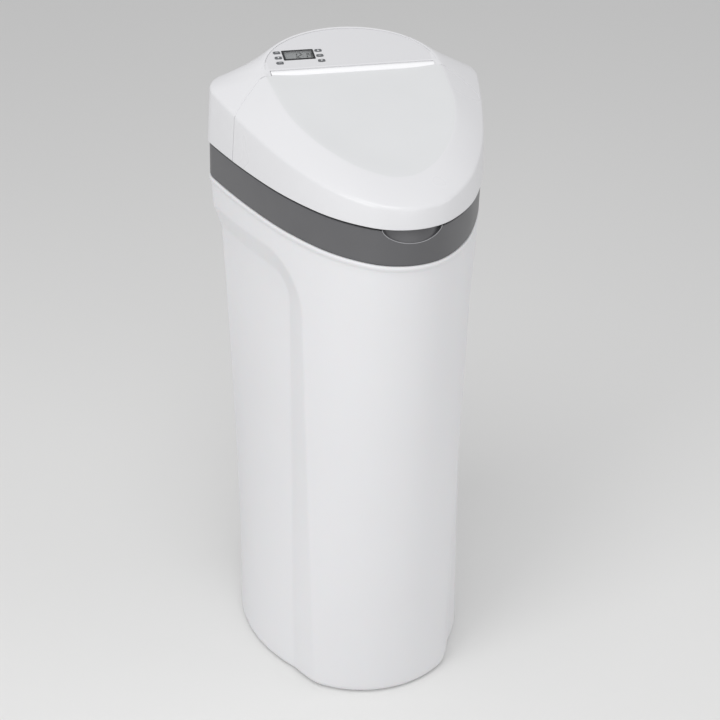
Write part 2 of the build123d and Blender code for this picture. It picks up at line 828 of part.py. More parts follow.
def valve_body():
    """Moulded valve body: spigot in the neck, rotor chamber, rear ports, drain arm and venturi arm."""
    flange_top = neck_top_z + valve_flange_h
    body = cyl(spigot_r, neck_top_z - spigot_h, flange_top, 0, resin_y)
    body += cyl(neck_lip_r, neck_top_z, flange_top, 0, resin_y)
    body += cyl(neck_r, flange_top, chamber_z, 0, resin_y)
    body += cyl(chamber_r, chamber_z, chamber_top_z, 0, resin_y)
    for side in (-1, 1):
        body += cyl_y(port_r, resin_y, resin_y + port_len, side * port_x, port_z)
    body += cyl_y(drain_arm_r, resin_y, resin_y + port_len, drain_x, port_z)
    body += cyl_x(drain_arm_r, drain_x, 0, resin_y + 2 * drain_arm_r, port_z)
    body += venturi_arm()
    body -= cyl(chamber_bore_r, chamber_z + chamber_floor, chamber_top_z + over, 0, resin_y)
    for side in (-1, 1):
        body -= cyl_y(port_bore_r, resin_y + chamber_bore_r / 2, resin_y + port_len + over,
                      side * port_x, port_z)
        body -= cyl_y(port_socket_r, resin_y + port_len - port_socket_h, resin_y + port_len + over,
                      side * port_x, port_z)
    body -= cyl_y(drain_bore_r, resin_y + 2 * drain_arm_r, resin_y + port_len + over, drain_x, port_z)
    body -= cyl(riser_r, neck_top_z - spigot_h - over, neck_top_z - spigot_h + loose, 0, resin_y)
    body -= cyl(riser_r - riser_wall, neck_top_z - spigot_h - over, chamber_z + chamber_floor + loose,
                0, resin_y)
    z0 = neck_top_z - seal_groove_drop - seal_groove_h
    body -= tube_z(spigot_r + loose, seal_groove_r, z0, z0 + seal_groove_h, 0, resin_y)
    body -= tube_z(gasket_out_r, gasket_in_r, chamber_top_z - gasket_h, chamber_top_z + loose, 0, resin_y)
    for x, y in screw_spots():
        body -= cyl(screw_r, chamber_top_z + cover_t - screw_len, chamber_top_z + over, x, y)
    return one(body)


def venturi_arm():
    """Arm from the chamber's side to the venturi housing."""
    length = hypot(venturi_x, venturi_y - resin_y) - venturi_r
    turn = degrees(atan2(venturi_y - resin_y, venturi_x))
    z = venturi_z + venturi_arm_r + loose
    arm = cyl_x(venturi_arm_r, chamber_bore_r + loose, length, 0, z)
    return Pos(0, resin_y, 0) * (Rot(0, 0, turn) * arm)


def screw_spots():
    """Plan places of the cover screws."""
    turns = [360 * (i + 0.5) / screw_count for i in range(screw_count)]
    return [(screw_ring_r * cos(radians(t)), resin_y + screw_ring_r * sin(radians(t))) for t in turns]


def tank_o_ring():
    """Seal ring in the valve's spigot."""
    z = neck_top_z - seal_groove_drop - seal_groove_h / 2
    return one(Pos(0, resin_y, z) * Torus(seal_groove_r + seal_ring_r + loose / 2, seal_ring_r))


def neck_clamp():
    """Two half rings that hold the valve on the neck, joined at their ears."""
    z0, z1 = neck_top_z - neck_lip_h - clamp_over, neck_top_z + valve_flange_h + clamp_over
    ring = cyl(clamp_r, z0, z1, 0, resin_y)
    for side in (-1, 1):
        x0, x1 = sorted((side * neck_lip_r, side * (clamp_r + clamp_ear)))
        ring += block(x0, x1, resin_y - clamp_ear_t, resin_y + clamp_ear_t, z0, z1)
    ring -= cyl(neck_r + loose, z0 - over, z1 + over, 0, resin_y)
    ring -= cyl(neck_lip_r + loose, neck_top_z - neck_lip_h - loose, neck_top_z + valve_flange_h + loose,
                0, resin_y)
    ring -= block(-reach, reach, resin_y - clamp_slit / 2, resin_y + clamp_slit / 2, z0 - over, z1 + over)
    for screw in clamp_screws().solids():
        ring -= screw
    return Compound(ring.solids())


def clamp_screws():
    """Two screws through the clamp's ears."""
    screws = []
    z = neck_top_z
    for side in (-1, 1):
        x = side * (clamp_r + clamp_ear / 2)
        y0 = resin_y - clamp_ear_t
        screw = cyl_y(screw_r, y0, resin_y + clamp_ear_t, x, z)
        screw += cyl_y(screw_head_r, y0 - screw_head_h, y0, x, z)
        screws.append(screw.solids()[0])
    return Compound(screws)


def rotor_seal():
    """Flat seal ring under the valve cover."""
    return one(tube_z(gasket_out_r, gasket_in_r, chamber_top_z - gasket_h, chamber_top_z, 0, resin_y))


def valve_cover():
    """Round cover over the rotor chamber, with ribs, a shaft bore and screw holes."""
    z0, z1 = chamber_top_z, chamber_top_z + cover_t
    cover = cyl(chamber_r, z0, z1, 0, resin_y)
    cover -= tube_z(gasket_in_r, rotor_shaft_r + cover_rib_t, z0 + cover_t / 2, z1 + over, 0, resin_y)
    for i in range(screw_count):
        rib = block(rotor_shaft_r, gasket_out_r, -cover_rib_t / 2, cover_rib_t / 2, z0, z1)
        cover += Pos(0, resin_y, 0) * (Rot(0, 0, 360 * i / screw_count) * rib)
    cover -= cyl(rotor_shaft_r + run_clear, z0 - over, z1 + over, 0, resin_y)
    for x, y in screw_spots():
        cover -= cyl(screw_r, z0 - over, z1 + over, x, y)
    return one(cover)


def valve_screws():
    """Screws that hold the valve cover."""
    screws = []
    top = chamber_top_z + cover_t
    for x, y in screw_spots():
        screw = cyl(screw_r, top - screw_len, top, x, y)
        screw += cyl(screw_head_r, top, top + screw_head_h, x, y)
        screws.append(screw.solids()[0])
    return Compound(screws)


def rotor_disc():
    """Disc with flow windows that turns on the ports, and its shaft up through the cover."""
    z0 = chamber_z + chamber_floor + rotor_lift
    disc = cyl(rotor_r, z0, z0 + rotor_t, 0, resin_y)
    for i in range(rotor_windows):
        start = 360 * i / rotor_windows
        with BuildSketch() as window:
            SlotArc(CenterArc((0, 0), rotor_window_r, start, rotor_window_angle), rotor_window_w)
        disc -= Pos(0, resin_y, z0 - over / 2) * extrude(window.sketch, over)
    top = gear_z() + gear_t + cam_h
    disc += cyl(rotor_shaft_r, z0, top, 0, resin_y)
    return one(disc)


def gear_z():
    """Height of the cam gear's underside."""
    return chamber_top_z + cover_t + gear_lift


def tooth_ring(teeth, thickness, phase):
    """Spur gear blank: trapezoid teeth on the root circle, flanks cut for backlash."""
    pitch_r = gear_module * teeth / 2
    root_r, tip_r = pitch_r - gear_module * root_share, pitch_r + gear_module
    half = pi * gear_module / 4 - gear_backlash / 2
    lean = tan(radians(pressure_angle))
    foot_r, foot, tip = root_r - gear_module / 4, half + lean * (pitch_r - root_r), half - lean * gear_module
    tooth = make_face(Polyline((foot_r, -foot), (tip_r, -tip), (tip_r, tip), (foot_r, foot), close=True))
    blank = Circle(root_r)
    teeth_faces = [Rot(0, 0, phase + 360 * i / teeth) * tooth for i in range(teeth)]
    return extrude(Sketch() + blank + teeth_faces, thickness)


def cam_gear():
    """Large gear with a spoked web, a hub on the rotor shaft and a cam ring on top."""
    ring = tooth_ring(gear_teeth, gear_t, 0.0)
    root_r = gear_module * gear_teeth / 2 - gear_module * root_share
    pocket = Circle(root_r - gear_rim) - Circle(gear_hub_r)
    ring -= Pos(0, 0, gear_web_t) * extrude(pocket, gear_t)
    ring += tube_z(cam_r + cam_wall, cam_r, gear_web_t, gear_t + cam_h)
    for i in range(cam_notches):
        notch = block(cam_r + cam_notch_depth, cam_r + 2 * cam_wall, -cam_wall, cam_wall, gear_t,
                      gear_t + cam_h + over)
        ring -= Rot(0, 0, 360 * i / cam_notches + cam_notch_angle) * notch
    window = Pos((gear_hub_r + cam_r) / 2, 0) * Circle((cam_r - gear_hub_r) / 4)
    windows = [Rot(0, 0, 360 * i / gear_spokes) * window for i in range(gear_spokes)]
    ring -= Pos(0, 0, -over / 2) * extrude(Sketch() + windows, over)
    ring -= cyl(rotor_shaft_r, -over, over)
    return one(Pos(0, resin_y, gear_z()) * ring)


def pinion_spot():
    """Plan place of the pinion."""
    distance = gear_module * (gear_teeth + pinion_teeth) / 2 + gear_mesh_gap
    turn = radians(pinion_angle)
    return distance * cos(turn), resin_y + distance * sin(turn)


def motor_pinion():
    """Pinion on the motor's shaft, in mesh with the cam gear."""
    tooth_step = 360 / pinion_teeth
    gear_phase = (pinion_angle % (360 / gear_teeth)) / (360 / gear_teeth)
    facing = pinion_angle + 180
    phase = facing + (0.5 + gear_phase) * tooth_step
    x, y = pinion_spot()
    wheel = Pos(x, y, gear_z() - pinion_over / 2) * tooth_ring(pinion_teeth, gear_t + pinion_over, phase)
    top = plate_z() + plate_t + motor_boss_h
    return one(wheel + cyl(pinion_shaft_r, gear_z(), top, x, y))


def plate_z():
    """Height of the motor plate's underside."""
    return gear_z() + gear_t + cam_h + plate_gap


def motor_plate():
    """Plate over the gears on three posts, with holes for the shafts and a seat for the motor."""
    x, y = pinion_spot()
    z0, z1 = plate_z(), plate_z() + plate_t
    plate = cyl(chamber_r, z0, z1, 0, resin_y) + cyl(motor_r + motor_ear, z0, z1, x, y)
    for i in range(posts):
        turn = radians(pinion_angle - post_lag_angle + 360 * i / posts)
        px, py = post_ring_r * cos(turn), resin_y + post_ring_r * sin(turn)
        plate += cyl(post_r, chamber_top_z + cover_t, z0, px, py)
    plate -= cyl(3 * pinion_shaft_r, z0 - over, z1 + over, x, y)
    plate -= cyl(rotor_shaft_r + gear_rim, z0 - over, z1 + over, 0, resin_y)
    return one(plate)


def drive_motor():
    """Synchronous gear motor that stands on the plate."""
    x, y = pinion_spot()
    z0 = plate_z() + plate_t
    mid = y + motor_offset / 2
    can = cyl(motor_r, z0 + motor_boss_h, z0 + motor_h, x, mid)
    ears = block(x - motor_r - motor_ear / 2, x + motor_r + motor_ear / 2, mid - motor_ear / 2,
                 mid + motor_ear / 2, z0, z0 + 2 * motor_boss_h)
    ears -= cyl(3 * pinion_shaft_r, z0 - over, z0 + motor_boss_h, x, y)
    return one(can + ears)


def position_switch():
    """Small switch under the plate whose nose reads the cam ring."""
    x1 = -(cam_r + cam_wall + switch_nose)
    z1 = plate_z()
    case = block(x1 - switch_w, x1, resin_y - switch_d / 2, resin_y + switch_d / 2, z1 - switch_h, z1)
    nose = block(x1 - loose, x1 + switch_nose - loose, resin_y - switch_nose / 2, resin_y + switch_nose / 2,
                 z1 - switch_h + loose, z1 - switch_h + loose + switch_nose)
    return one(case + nose)


def venturi_housing():
    """Cup that holds the nozzle and the throat, with an arm seat and a spigot for the brine tube."""
    body = cyl(venturi_r, venturi_z, venturi_z + venturi_h, venturi_x, venturi_y)
    body -= cyl(venturi_r - 2 * cone_wall, venturi_z + 3 * cone_wall, venturi_z + venturi_h + over,
                venturi_x, venturi_y)
    body += cyl(venturi_spigot_r, venturi_z - venturi_spigot_h, venturi_z, venturi_x, venturi_y)
    body -= cyl(venturi_spigot_r / 2, venturi_z - venturi_spigot_h - over, venturi_z + over,
                venturi_x, venturi_y)
    body -= venturi_arm()
    return one(body)


def nozzle_disc():
    """Nozzle and throat insert inside the venturi housing."""
    z0 = venturi_z + 3 * cone_wall
    disc = cyl(venturi_r - 2 * cone_wall - loose, z0, z0 + cone_h / 2, venturi_x, venturi_y)
    disc -= cyl(venturi_spigot_r / 2, z0 - over, z0 + over, venturi_x, venturi_y)
    disc -= block(venturi_x - venturi_r / 2, venturi_x + venturi_r / 2, venturi_y - cone_wall / 2,
                  venturi_y + cone_wall / 2, z0 + cone_h / 4, z0 + over)
    return one(disc)


def venturi_cap():
    """Ribbed screw cap on the venturi housing."""
    z0 = venturi_z + venturi_h - venturi_cap_h / 2
    cap = cyl(venturi_cap_r, z0, z0 + venturi_cap_h, venturi_x, venturi_y)
    for i in range(venturi_cap_ribs):
        rib = cyl(venturi_cap_rib, z0, z0 + venturi_cap_h, venturi_cap_r, 0)
        cap += Pos(venturi_x, venturi_y, 0) * (Rot(0, 0, 360 * i / venturi_cap_ribs) * rib)
    cap -= cyl(venturi_r, z0 - over, venturi_z + venturi_h, venturi_x, venturi_y)
    return one(cap)


def brine_well():
    """Slotted tube that keeps salt away from the brine valve."""
    tube = tube_z(well_r, well_r - well_wall, tank_wall, well_top_z, well_x, well_y)
    for i in range(well_slots):
        cut = block(well_r / 2, well_r + over, -well_slot_w / 2, well_slot_w / 2, tank_wall + well_slot_w,
                    tank_wall + well_slot_w + well_slot_h)
        tube -= Pos(well_x, well_y, 0) * (Rot(0, 0, 360 * (i + 0.5) / well_slots) * cut)
    return one(tube)


def well_cap():
    """Lift-off cap of the brine well."""
    cap = cyl(well_r + well_wall, well_top_z - well_cap_skirt, well_top_z + well_cap_t, well_x, well_y)
    cap -= cyl(well_r, well_top_z - well_cap_skirt - over, well_top_z, well_x, well_y)
    cap -= cyl(pickup_r, well_top_z - over, well_top_z + over, well_x, well_y)
    return one(cap)


def brine_valve():
    """Foot housing in the well with the pick-up pipe and the guide for the float's rod."""
    body = cyl(valve_house_r, tank_wall, tank_wall + valve_house_h, well_x, well_y)
    body += cyl(pickup_r, tank_wall, pickup_top_z, well_x, well_y)
    body -= cyl(pickup_bore_r, 2 * tank_wall, pickup_top_z + over, well_x, well_y)
    guide_top = tank_wall + valve_house_h
    body -= cyl(float_rod_r + run_clear, guide_top - float_rod_dip - float_rod_gap, guide_top + over,
                well_x + float_rod_x, well_y)
    return one(body)


def brine_float():
    """Float on its rod, which slides in the brine valve."""
    body = cyl(float_r, float_z, float_z + float_h, well_x, well_y)
    body -= cyl(float_bore_r, float_z - over, float_z + float_h + over, well_x, well_y)
    rod_foot = tank_wall + valve_house_h - float_rod_dip
    return one(body + cyl(float_rod_r, rod_foot, float_z + float_h, well_x + float_rod_x, well_y))


def brine_tube():
    """Brine tube from the pick-up pipe to the venturi, in straight runs and tangent arcs."""
    start = (well_x, well_y, pickup_top_z - hose_over)
    rise = (well_x, well_y, hose_z)
    across = (venturi_x, venturi_y, hose_z)
    end = (venturi_x, venturi_y, venturi_z - venturi_spigot_h + hose_over)
    path = FilletPolyline(start, rise, across, end, radius=hose_bend_r)
    tube = sweep(Plane(origin=start, z_dir=(0, 0, 1)) * Circle(hose_r), path=path)
    bore = sweep(Plane(origin=start, z_dir=(0, 0, 1)) * Circle(pickup_bore_r), path=path)
    tube = tube - bore - cyl(pickup_r, 0, pickup_top_z, well_x, well_y)
    return one(tube - cyl(venturi_spigot_r, venturi_z - venturi_spigot_h, venturi_z, venturi_x, venturi_y))


def port_adapter(side):
    """Straight adapter from a valve port out through the back."""
    y0 = resin_y + port_len - port_socket_h
    y1 = y0 + adapter_len
    x = side * port_x
    tube = cyl_y(adapter_r, y0, y1, x, port_z)
    collar_y = resin_y + port_len + clip_gap
    tube += cyl_y(port_r, collar_y, collar_y + clip_t, x, port_z)
    return one(tube - cyl_y(adapter_bore_r, y0 - over, y1 + over, x, port_z))


def port_clips():
    """Two spring clips over the joints of the ports and the adapters."""
    clips = []
    y0 = resin_y + port_len - clip_t - clip_gap
    y1 = resin_y + port_len + 2 * clip_t + 2 * clip_gap
    for side in (-1, 1):
        x = side * port_x
        clip = cyl_y(clip_r, y0, y1, x, port_z) - cyl_y(port_r, y0 - over, y1 + over, x, port_z)
        clip -= block(x - clip_r / 2, x + clip_r / 2, y0 - over, y1 + over, port_z - 2 * clip_r, port_z)
        clips.append(clip.solids()[0])
    return Compound(clips)


def spider():
    """Three-armed carrier in the outlet port with the turbine's shaft."""
    y0 = turbine_y() - spider_t - loose
    hub = cyl_y(spider_hub_r, y0, y0 + spider_t, 0, 0)
    hub += cyl_y(turbine_shaft_r, y0, y0 + 2 * spider_t + turbine_len, 0, 0)
    for i in range(spider_arms):
        arm = block(0, port_bore_r - run_clear, y0, y0 + spider_t, -spider_arm / 2, spider_arm / 2)
        hub += Rot(0, 360 * i / spider_arms + spider_angle, 0) * arm
    rim = cyl_y(port_bore_r, y0, y0 + spider_t, 0, 0)
    rim -= cyl_y(port_bore_r - spider_arm / 2, y0 - over, y0 + over, 0, 0)
    return one(Pos(port_x, 0, port_z) * (hub + rim))


def turbine_y():
    """Place along the outlet port where the turbine starts."""
    return resin_y + port_len - port_socket_h - 2 * turbine_len


def turbine():
    """Six-bladed turbine that turns in the outlet flow."""
    wheel = extrude(Circle(turbine_hub_r), turbine_len)
    blade = Pos(turbine_r / 2, 0) * Rectangle(turbine_r, turbine_blade_t)
    layers = 3
    for i in range(turbine_blades):
        for layer in range(layers):
            turn = 360 * i / turbine_blades + turbine_pitch_turn * layer / layers
            slab = Rot(0, 0, turn) * extrude(blade, turbine_len / layers)
            wheel += Pos(0, 0, layer * turbine_len / layers) * slab
    wheel -= Pos(0, 0, -over / 2) * extrude(Circle(turbine_shaft_r + run_clear), over)
    return one(Location((port_x, turbine_y(), port_z), (-90, 0, 0)) * wheel)


def bypass_y():
    """Place along the adapters where the bypass body starts."""
    return resin_y + port_len - port_socket_h + adapter_len - bypass_start


def bypass_body():
    """Bypass valve on the two adapters, with a cross barrel for the stem and two tails for pipes."""
    y0 = bypass_y()
    y1 = y0 + bypass_len
    mid = y0 + bypass_mid
    tail_y = mid + bypass_barrel_r + tail_gap
    body = cyl_x(bypass_barrel_r, -bypass_barrel_half, bypass_barrel_half, mid, port_z)
    for side in (-1, 1):
        body += cyl_y(bypass_r, y0, y1, side * port_x, port_z)
        body += cyl_y(tail_collar_r, y0, tail_y, side * port_x, port_z)
        body += cyl_y(tail_r, y0, tail_y + tail_len, side * port_x, port_z)
    for side in (-1, 1):
        x = side * port_x
        body -= cyl_y(adapter_r, y0 - over, y0 + bypass_start, x, port_z)
        body -= cyl_y(bypass_bore_r, y0 - over, tail_y + tail_len + over, x, port_z)
    return one(body - cyl_x(stem_r + stem_clear, -reach, reach, mid, port_z))


def bypass_stem():
    """Sliding spool of the bypass with a knob at each end."""
    mid = bypass_y() + bypass_mid
    x0 = -stem_half - stem_travel
    stem = cyl_x(stem_waist_r, x0, stem_half, mid, port_z)
    for start in (-bypass_barrel_half, -stem_land / 2, bypass_barrel_half - stem_land - stem_travel):
        stem += cyl_x(stem_r, start, start + stem_land, mid, port_z)
    stem += cyl_x(knob_r, x0 - knob_t, x0, mid, port_z)
    return one(stem + cyl_x(knob_r, stem_half, stem_half + knob_t, mid, port_z))


def drain_adapter():
    """Barbed adapter that takes the drain hose out through the back."""
    y0 = resin_y + port_len
    tube = cyl_y(drain_arm_r, y0, y0 + drain_len - barb_len, drain_x, port_z)
    tube += cyl_y(barb_r, y0, y0 + drain_len, drain_x, port_z)
    return one(tube - cyl_y(drain_bore_r, y0 - over, y0 + drain_len + over, drain_x, port_z))


def overflow_parts():
    """Elbow and grommet of the overflow, built along +Y and turned square to the tank's wall."""
    (x, y), angle = wall_spot(overflow_x)
    place = Location((x, y, overflow_z), (0, 0, -angle))
    wall = tank_wall + grommet_lip_t
    grommet = cyl_y(grommet_r, -wall, grommet_lip_t, 0, 0)
    for start in (-wall - grommet_lip_t, grommet_lip_t / 2):
        grommet += cyl_y(grommet_r + grommet_lip, start, start + grommet_lip_t, 0, 0)
    grommet -= cyl_y(overflow_r, -over, over, 0, 0)
    start = (0, -overflow_in, 0)
    path = FilletPolyline(start, (0, overflow_out, 0), (0, overflow_out, -overflow_drop), radius=overflow_bend_r)
    mouth = Plane(origin=start, z_dir=(0, 1, 0))
    elbow = sweep(mouth * Circle(overflow_r), path=path) - sweep(mouth * Circle(overflow_bore_r), path=path)
    return one(place * grommet), one(place * elbow)


def power_grommet():
    """Rubber bush for the low-voltage lead in the console's back wall."""
    y1 = top_plan.back_point(power_x, crease_inset / 2)[0][1]
    bush = cyl_y(power_r, y1 - hood_wall - power_lip, y1 + power_lip, power_x, port_z)
    return one(bush - cyl_y(power_bore_r, y1 - over, y1 + over, power_x, port_z))


def build():
    """All sub-parts by node name."""
    grommet, elbow = overflow_parts()
    parts = {
        "brine_tank": brine_tank(), "rim_band": rim_band(), "salt_lid": salt_lid(),
        "top_cover": top_cover(), "hinge_pins": hinge_pins(), "facia_panel": facia_panel(),
        "display_window": display_window(), "display_module": display_module(),
        "control_board": control_board(), "resin_tank": resin_tank(), "tank_foot": tank_foot(),
        "riser_tube": riser_tube(), "bottom_distributor": bottom_distributor(),
        "top_distributor": top_distributor(), "resin_bed": resin_bed(), "valve_body": valve_body(),
        "tank_o_ring": tank_o_ring(), "neck_clamp": neck_clamp(), "clamp_screws": clamp_screws(),
        "rotor_seal": rotor_seal(), "valve_cover": valve_cover(), "valve_screws": valve_screws(),
        "rotor_disc": rotor_disc(), "cam_gear": cam_gear(), "motor_pinion": motor_pinion(),
        "motor_plate": motor_plate(), "drive_motor": drive_motor(), "position_switch": position_switch(),
        "venturi_housing": venturi_housing(), "nozzle_disc": nozzle_disc(), "venturi_cap": venturi_cap(),
        "brine_well": brine_well(), "well_cap": well_cap(), "brine_valve": brine_valve(),
        "brine_float": brine_float(), "brine_tube": brine_tube(), "inlet_adapter": port_adapter(-1),
        "outlet_adapter": port_adapter(1), "port_clips": port_clips(), "turbine_carrier": spider(),
        "turbine": turbine(), "bypass_body": bypass_body(), "bypass_stem": bypass_stem(),
        "drain_adapter": drain_adapter(), "overflow_elbow": elbow, "overflow_grommet": grommet,
        "power_grommet": power_grommet(),
    }
    for name, u, v in button_spots():
        parts[name] = button(u, v)
    return parts


def main():
    """Write one STEP file per sub-part."""
    os.makedirs("parts", exist_ok=True)
    for name, shape in build().items():
        shape.label = name
        export_step(shape, os.path.join("parts", f"{name}.step"))


main()
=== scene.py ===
"""Looks of a cabinet water softener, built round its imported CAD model.

Sizes are in millimetres in the classes and turn into metres where a mesh is made. The front faces -Y.
"""
import json
import logging
from bisect import bisect_right
from dataclasses import dataclass, field
from enum import Enum
from math import asin, atan2, cos, degrees, hypot, pi, radians, sin, sqrt, tan
from typing import Callable, Sequence

import bmesh
import bpy
from mathutils import Matrix, Vector


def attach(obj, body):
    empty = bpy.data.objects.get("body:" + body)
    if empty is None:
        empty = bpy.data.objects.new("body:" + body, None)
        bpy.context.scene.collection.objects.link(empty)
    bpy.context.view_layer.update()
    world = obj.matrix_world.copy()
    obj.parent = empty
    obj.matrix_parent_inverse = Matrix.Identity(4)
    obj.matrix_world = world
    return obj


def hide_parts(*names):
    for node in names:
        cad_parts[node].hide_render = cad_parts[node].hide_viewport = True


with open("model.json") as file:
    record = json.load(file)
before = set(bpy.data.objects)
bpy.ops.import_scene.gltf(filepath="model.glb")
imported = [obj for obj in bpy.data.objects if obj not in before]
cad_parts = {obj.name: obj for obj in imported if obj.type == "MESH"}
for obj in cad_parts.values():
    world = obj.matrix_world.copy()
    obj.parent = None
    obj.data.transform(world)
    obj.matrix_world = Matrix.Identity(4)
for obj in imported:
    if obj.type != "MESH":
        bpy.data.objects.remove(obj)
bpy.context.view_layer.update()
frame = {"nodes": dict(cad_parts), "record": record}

LOG = logging.getLogger("softener")
MM = 0.001
STATIONS = 400
CENTRE = Vector((0.0, 20.0, 0.0))
Pair = tuple[float, float]
Triple = tuple[float, float, float]
Ring = list[Vector]
Piece = bpy.types.Object
Material = bpy.types.Material
Tree = bpy.types.NodeTree
Node = bpy.types.Node
Socket = bpy.types.NodeSocket


class Cut(Enum):
    """How one closed mesh is combined with another."""

    TAKE_AWAY = "DIFFERENCE"
    KEEP_COMMON = "INTERSECT"
    ADD = "UNION"


class Body(Enum):
    """The CAD bodies that most new pieces ride on; each key has a body of its own."""

    CABINET = "cabinet"
    LID = "lid"


# Finishes


def linear(code: str) -> tuple[float, float, float, float]:
    """Turns an sRGB hex colour to linear.

    Args:
        code: six hex digits after a hash.

    Returns:
        Red, green, blue and an alpha of 1.
    """
    values = [int(code[i:i + 2], 16) / 255 for i in (1, 3, 5)]
    turned = [v / 12.92 if v <= 0.04045 else ((v + 0.055) / 1.055) ** 2.4 for v in values]
    return (*turned, 1.0)


def add_node(tree: Tree, kind: str, settings: dict, links: dict) -> Node:
    """Adds a shader node with its settings and links.

    Args:
        tree: the material's node tree.
        kind: what follows ShaderNode in Blender's name of the node.
        settings: attribute names, or input names, and their values.
        links: input names or numbers and the sockets that feed them.

    Returns:
        The new node.
    """
    node = tree.nodes.new(f"ShaderNode{kind}")
    for name, value in settings.items():
        if name in node.inputs:
            node.inputs[name].default_value = value
        else:
            setattr(node, name, value)
    for name, socket in links.items():
        tree.links.new(socket, node.inputs[name])
    return node


def noise(tree: Tree, place: Socket, size_mm: float, detail: float) -> Socket:
    """Adds a noise whose clouds have a size in millimetres."""
    settings = {"Scale": 1 / (size_mm * MM), "Detail": detail}
    return add_node(tree, "TexNoise", settings, {"Vector": place}).outputs["Fac"]


def ramp(tree: Tree, value: Socket, first: str, last: str) -> Socket:
    """Adds a ramp between two hex colours."""
    node = add_node(tree, "ValToRGB", {}, {"Fac": value})
    for element, code in zip(node.color_ramp.elements, (first, last)):
        element.color = linear(code)
    return node.outputs["Color"]


def relief(tree: Tree, height: Socket, strength: float, depth_mm: float, invert: bool = False) -> Socket:
    """Adds a fine relief of a depth in millimetres."""
    settings = {"Strength": strength, "Distance": depth_mm * MM, "invert": invert}
    return add_node(tree, "Bump", settings, {"Height": height}).outputs["Normal"]


@dataclass(frozen=True)
class Finish:
    """What every finish has: the real material's name, two tones and a roughness."""

    name: str
    base: str
    shade: str
    roughness: float

    def shader(self, tree: Tree, place: Socket) -> Node:
        """Adds an even tone; the other finishes put their own nodes here."""
        settings = {"Base Color": linear(self.base), "Roughness": self.roughness}
        return add_node(tree, "BsdfPrincipled", settings, {})

    def material(self) -> Material:
        """The finish as a node material."""
        material = bpy.data.materials.new(self.name)
        material.use_nodes = True
        tree = material.node_tree
        tree.nodes.clear()
        place = add_node(tree, "TexCoord", {}, {}).outputs["Object"]
        add_node(tree, "OutputMaterial", {}, {"Surface": self.shader(tree, place).outputs["BSDF"]})
        return material


@dataclass(frozen=True)
class Moulding(Finish):
    """A moulded plastic: two close tones in soft clouds, a spark-eroded grain and its gloss."""

    ior: float = 1.50
    cloud_mm: float = 90.0
    grain_mm: float = 1.6
    grain_depth_mm: float = 0.02
    roughness_spread: float = 0.06
    subsurface: float = 0.0
    scatter_mm: float = 2.0

    def shader(self, tree: Tree, place: Socket) -> Node:
        """Adds the clouds, the gloss that wanders with them and the grain."""
        cloud = noise(tree, place, self.cloud_mm, detail=3.0)
        tone = add_node(tree, "Mix", {"data_type": "RGBA"}, {"Factor": cloud})
        for socket in tone.inputs:
            if socket.type == "RGBA":
                socket.default_value = linear(self.base if socket.name == "A" else self.shade)
        spread = self.roughness_spread / 2
        limits = {"To Min": self.roughness - spread, "To Max": self.roughness + spread}
        gloss = add_node(tree, "MapRange", limits, {"Value": cloud}).outputs["Result"]
        grain = noise(tree, place, self.grain_mm, detail=4.0)
        settings = {"IOR": self.ior, "Subsurface Weight": self.subsurface,
                    "Subsurface Scale": self.scatter_mm * MM}
        return add_node(tree, "BsdfPrincipled", settings, {
            "Base Color": next(s for s in tone.outputs if s.type == "RGBA"), "Roughness": gloss,
            "Normal": relief(tree, grain, strength=0.5, depth_mm=self.grain_depth_mm)})


@dataclass(frozen=True)
class Metal(Finish):
    """A metal with a fine directional grain."""

    grain_mm: float = 0.8
    stretch: float = 12.0
    depth_mm: float = 0.01

    def shader(self, tree: Tree, place: Socket) -> Node:
        """Adds the grain and the metal."""
        turned = add_node(tree, "Mapping", {"Scale": (1.0, 1.0, 1 / self.stretch)}, {"Vector": place})
        grain = noise(tree, turned.outputs["Vector"], self.grain_mm, detail=5.0)
        return add_node(tree, "BsdfPrincipled", {"Metallic": 1.0, "Roughness": self.roughness}, {
            "Base Color": ramp(tree, grain, self.shade, self.base),
            "Normal": relief(tree, grain, strength=0.3, depth_mm=self.depth_mm)})


@dataclass(frozen=True)
class ClearPane(Finish):
    """A clear flat pane, such as acrylic over a display."""

    alpha: float = 0.06
    haze_mm: float = 12.0
    depth_mm: float = 0.01

    def shader(self, tree: Tree, place: Socket) -> Node:
        """Adds a clear sheet with a faint haze."""
        haze = noise(tree, place, self.haze_mm, detail=2.0)
        settings = {"Base Color": linear(self.base), "Roughness": self.roughness, "IOR": 1.49,
                    "Alpha": self.alpha}
        normal = relief(tree, haze, strength=0.1, depth_mm=self.depth_mm)
        return add_node(tree, "BsdfPrincipled", settings, {"Normal": normal})


@dataclass(frozen=True)
class WoundFibre(Finish):
    """Glass fibre wound in crossing bands under a clear resin."""

    band_mm: float = 9.0
    lean: float = 38.0
    wave: float = 6.28
    depth_mm: float = 0.2

    def shader(self, tree: Tree, place: Socket) -> Node:
        """Adds two leaning rows of bands and multiplies them."""
        settings = {"bands_direction": "Z", "Scale": 1 / (self.band_mm * MM) / self.wave, "Distortion": 1.5,
                    "Detail": 3.0}
        bands = {}
        for k, lean in enumerate((-self.lean, self.lean)):
            turned = add_node(tree, "Mapping", {"Rotation": (0.0, radians(lean), 0.0)}, {"Vector": place})
            wave = add_node(tree, "TexWave", settings, {"Vector": turned.outputs["Vector"]})
            bands[k] = wave.outputs["Fac"]
        both = add_node(tree, "Math", {"operation": "MULTIPLY"}, bands).outputs["Value"]
        return add_node(tree, "BsdfPrincipled", {"Roughness": self.roughness, "Coat Weight": 0.4}, {
            "Base Color": ramp(tree, both, self.shade, self.base),
            "Normal": relief(tree, both, strength=0.5, depth_mm=self.depth_mm)})


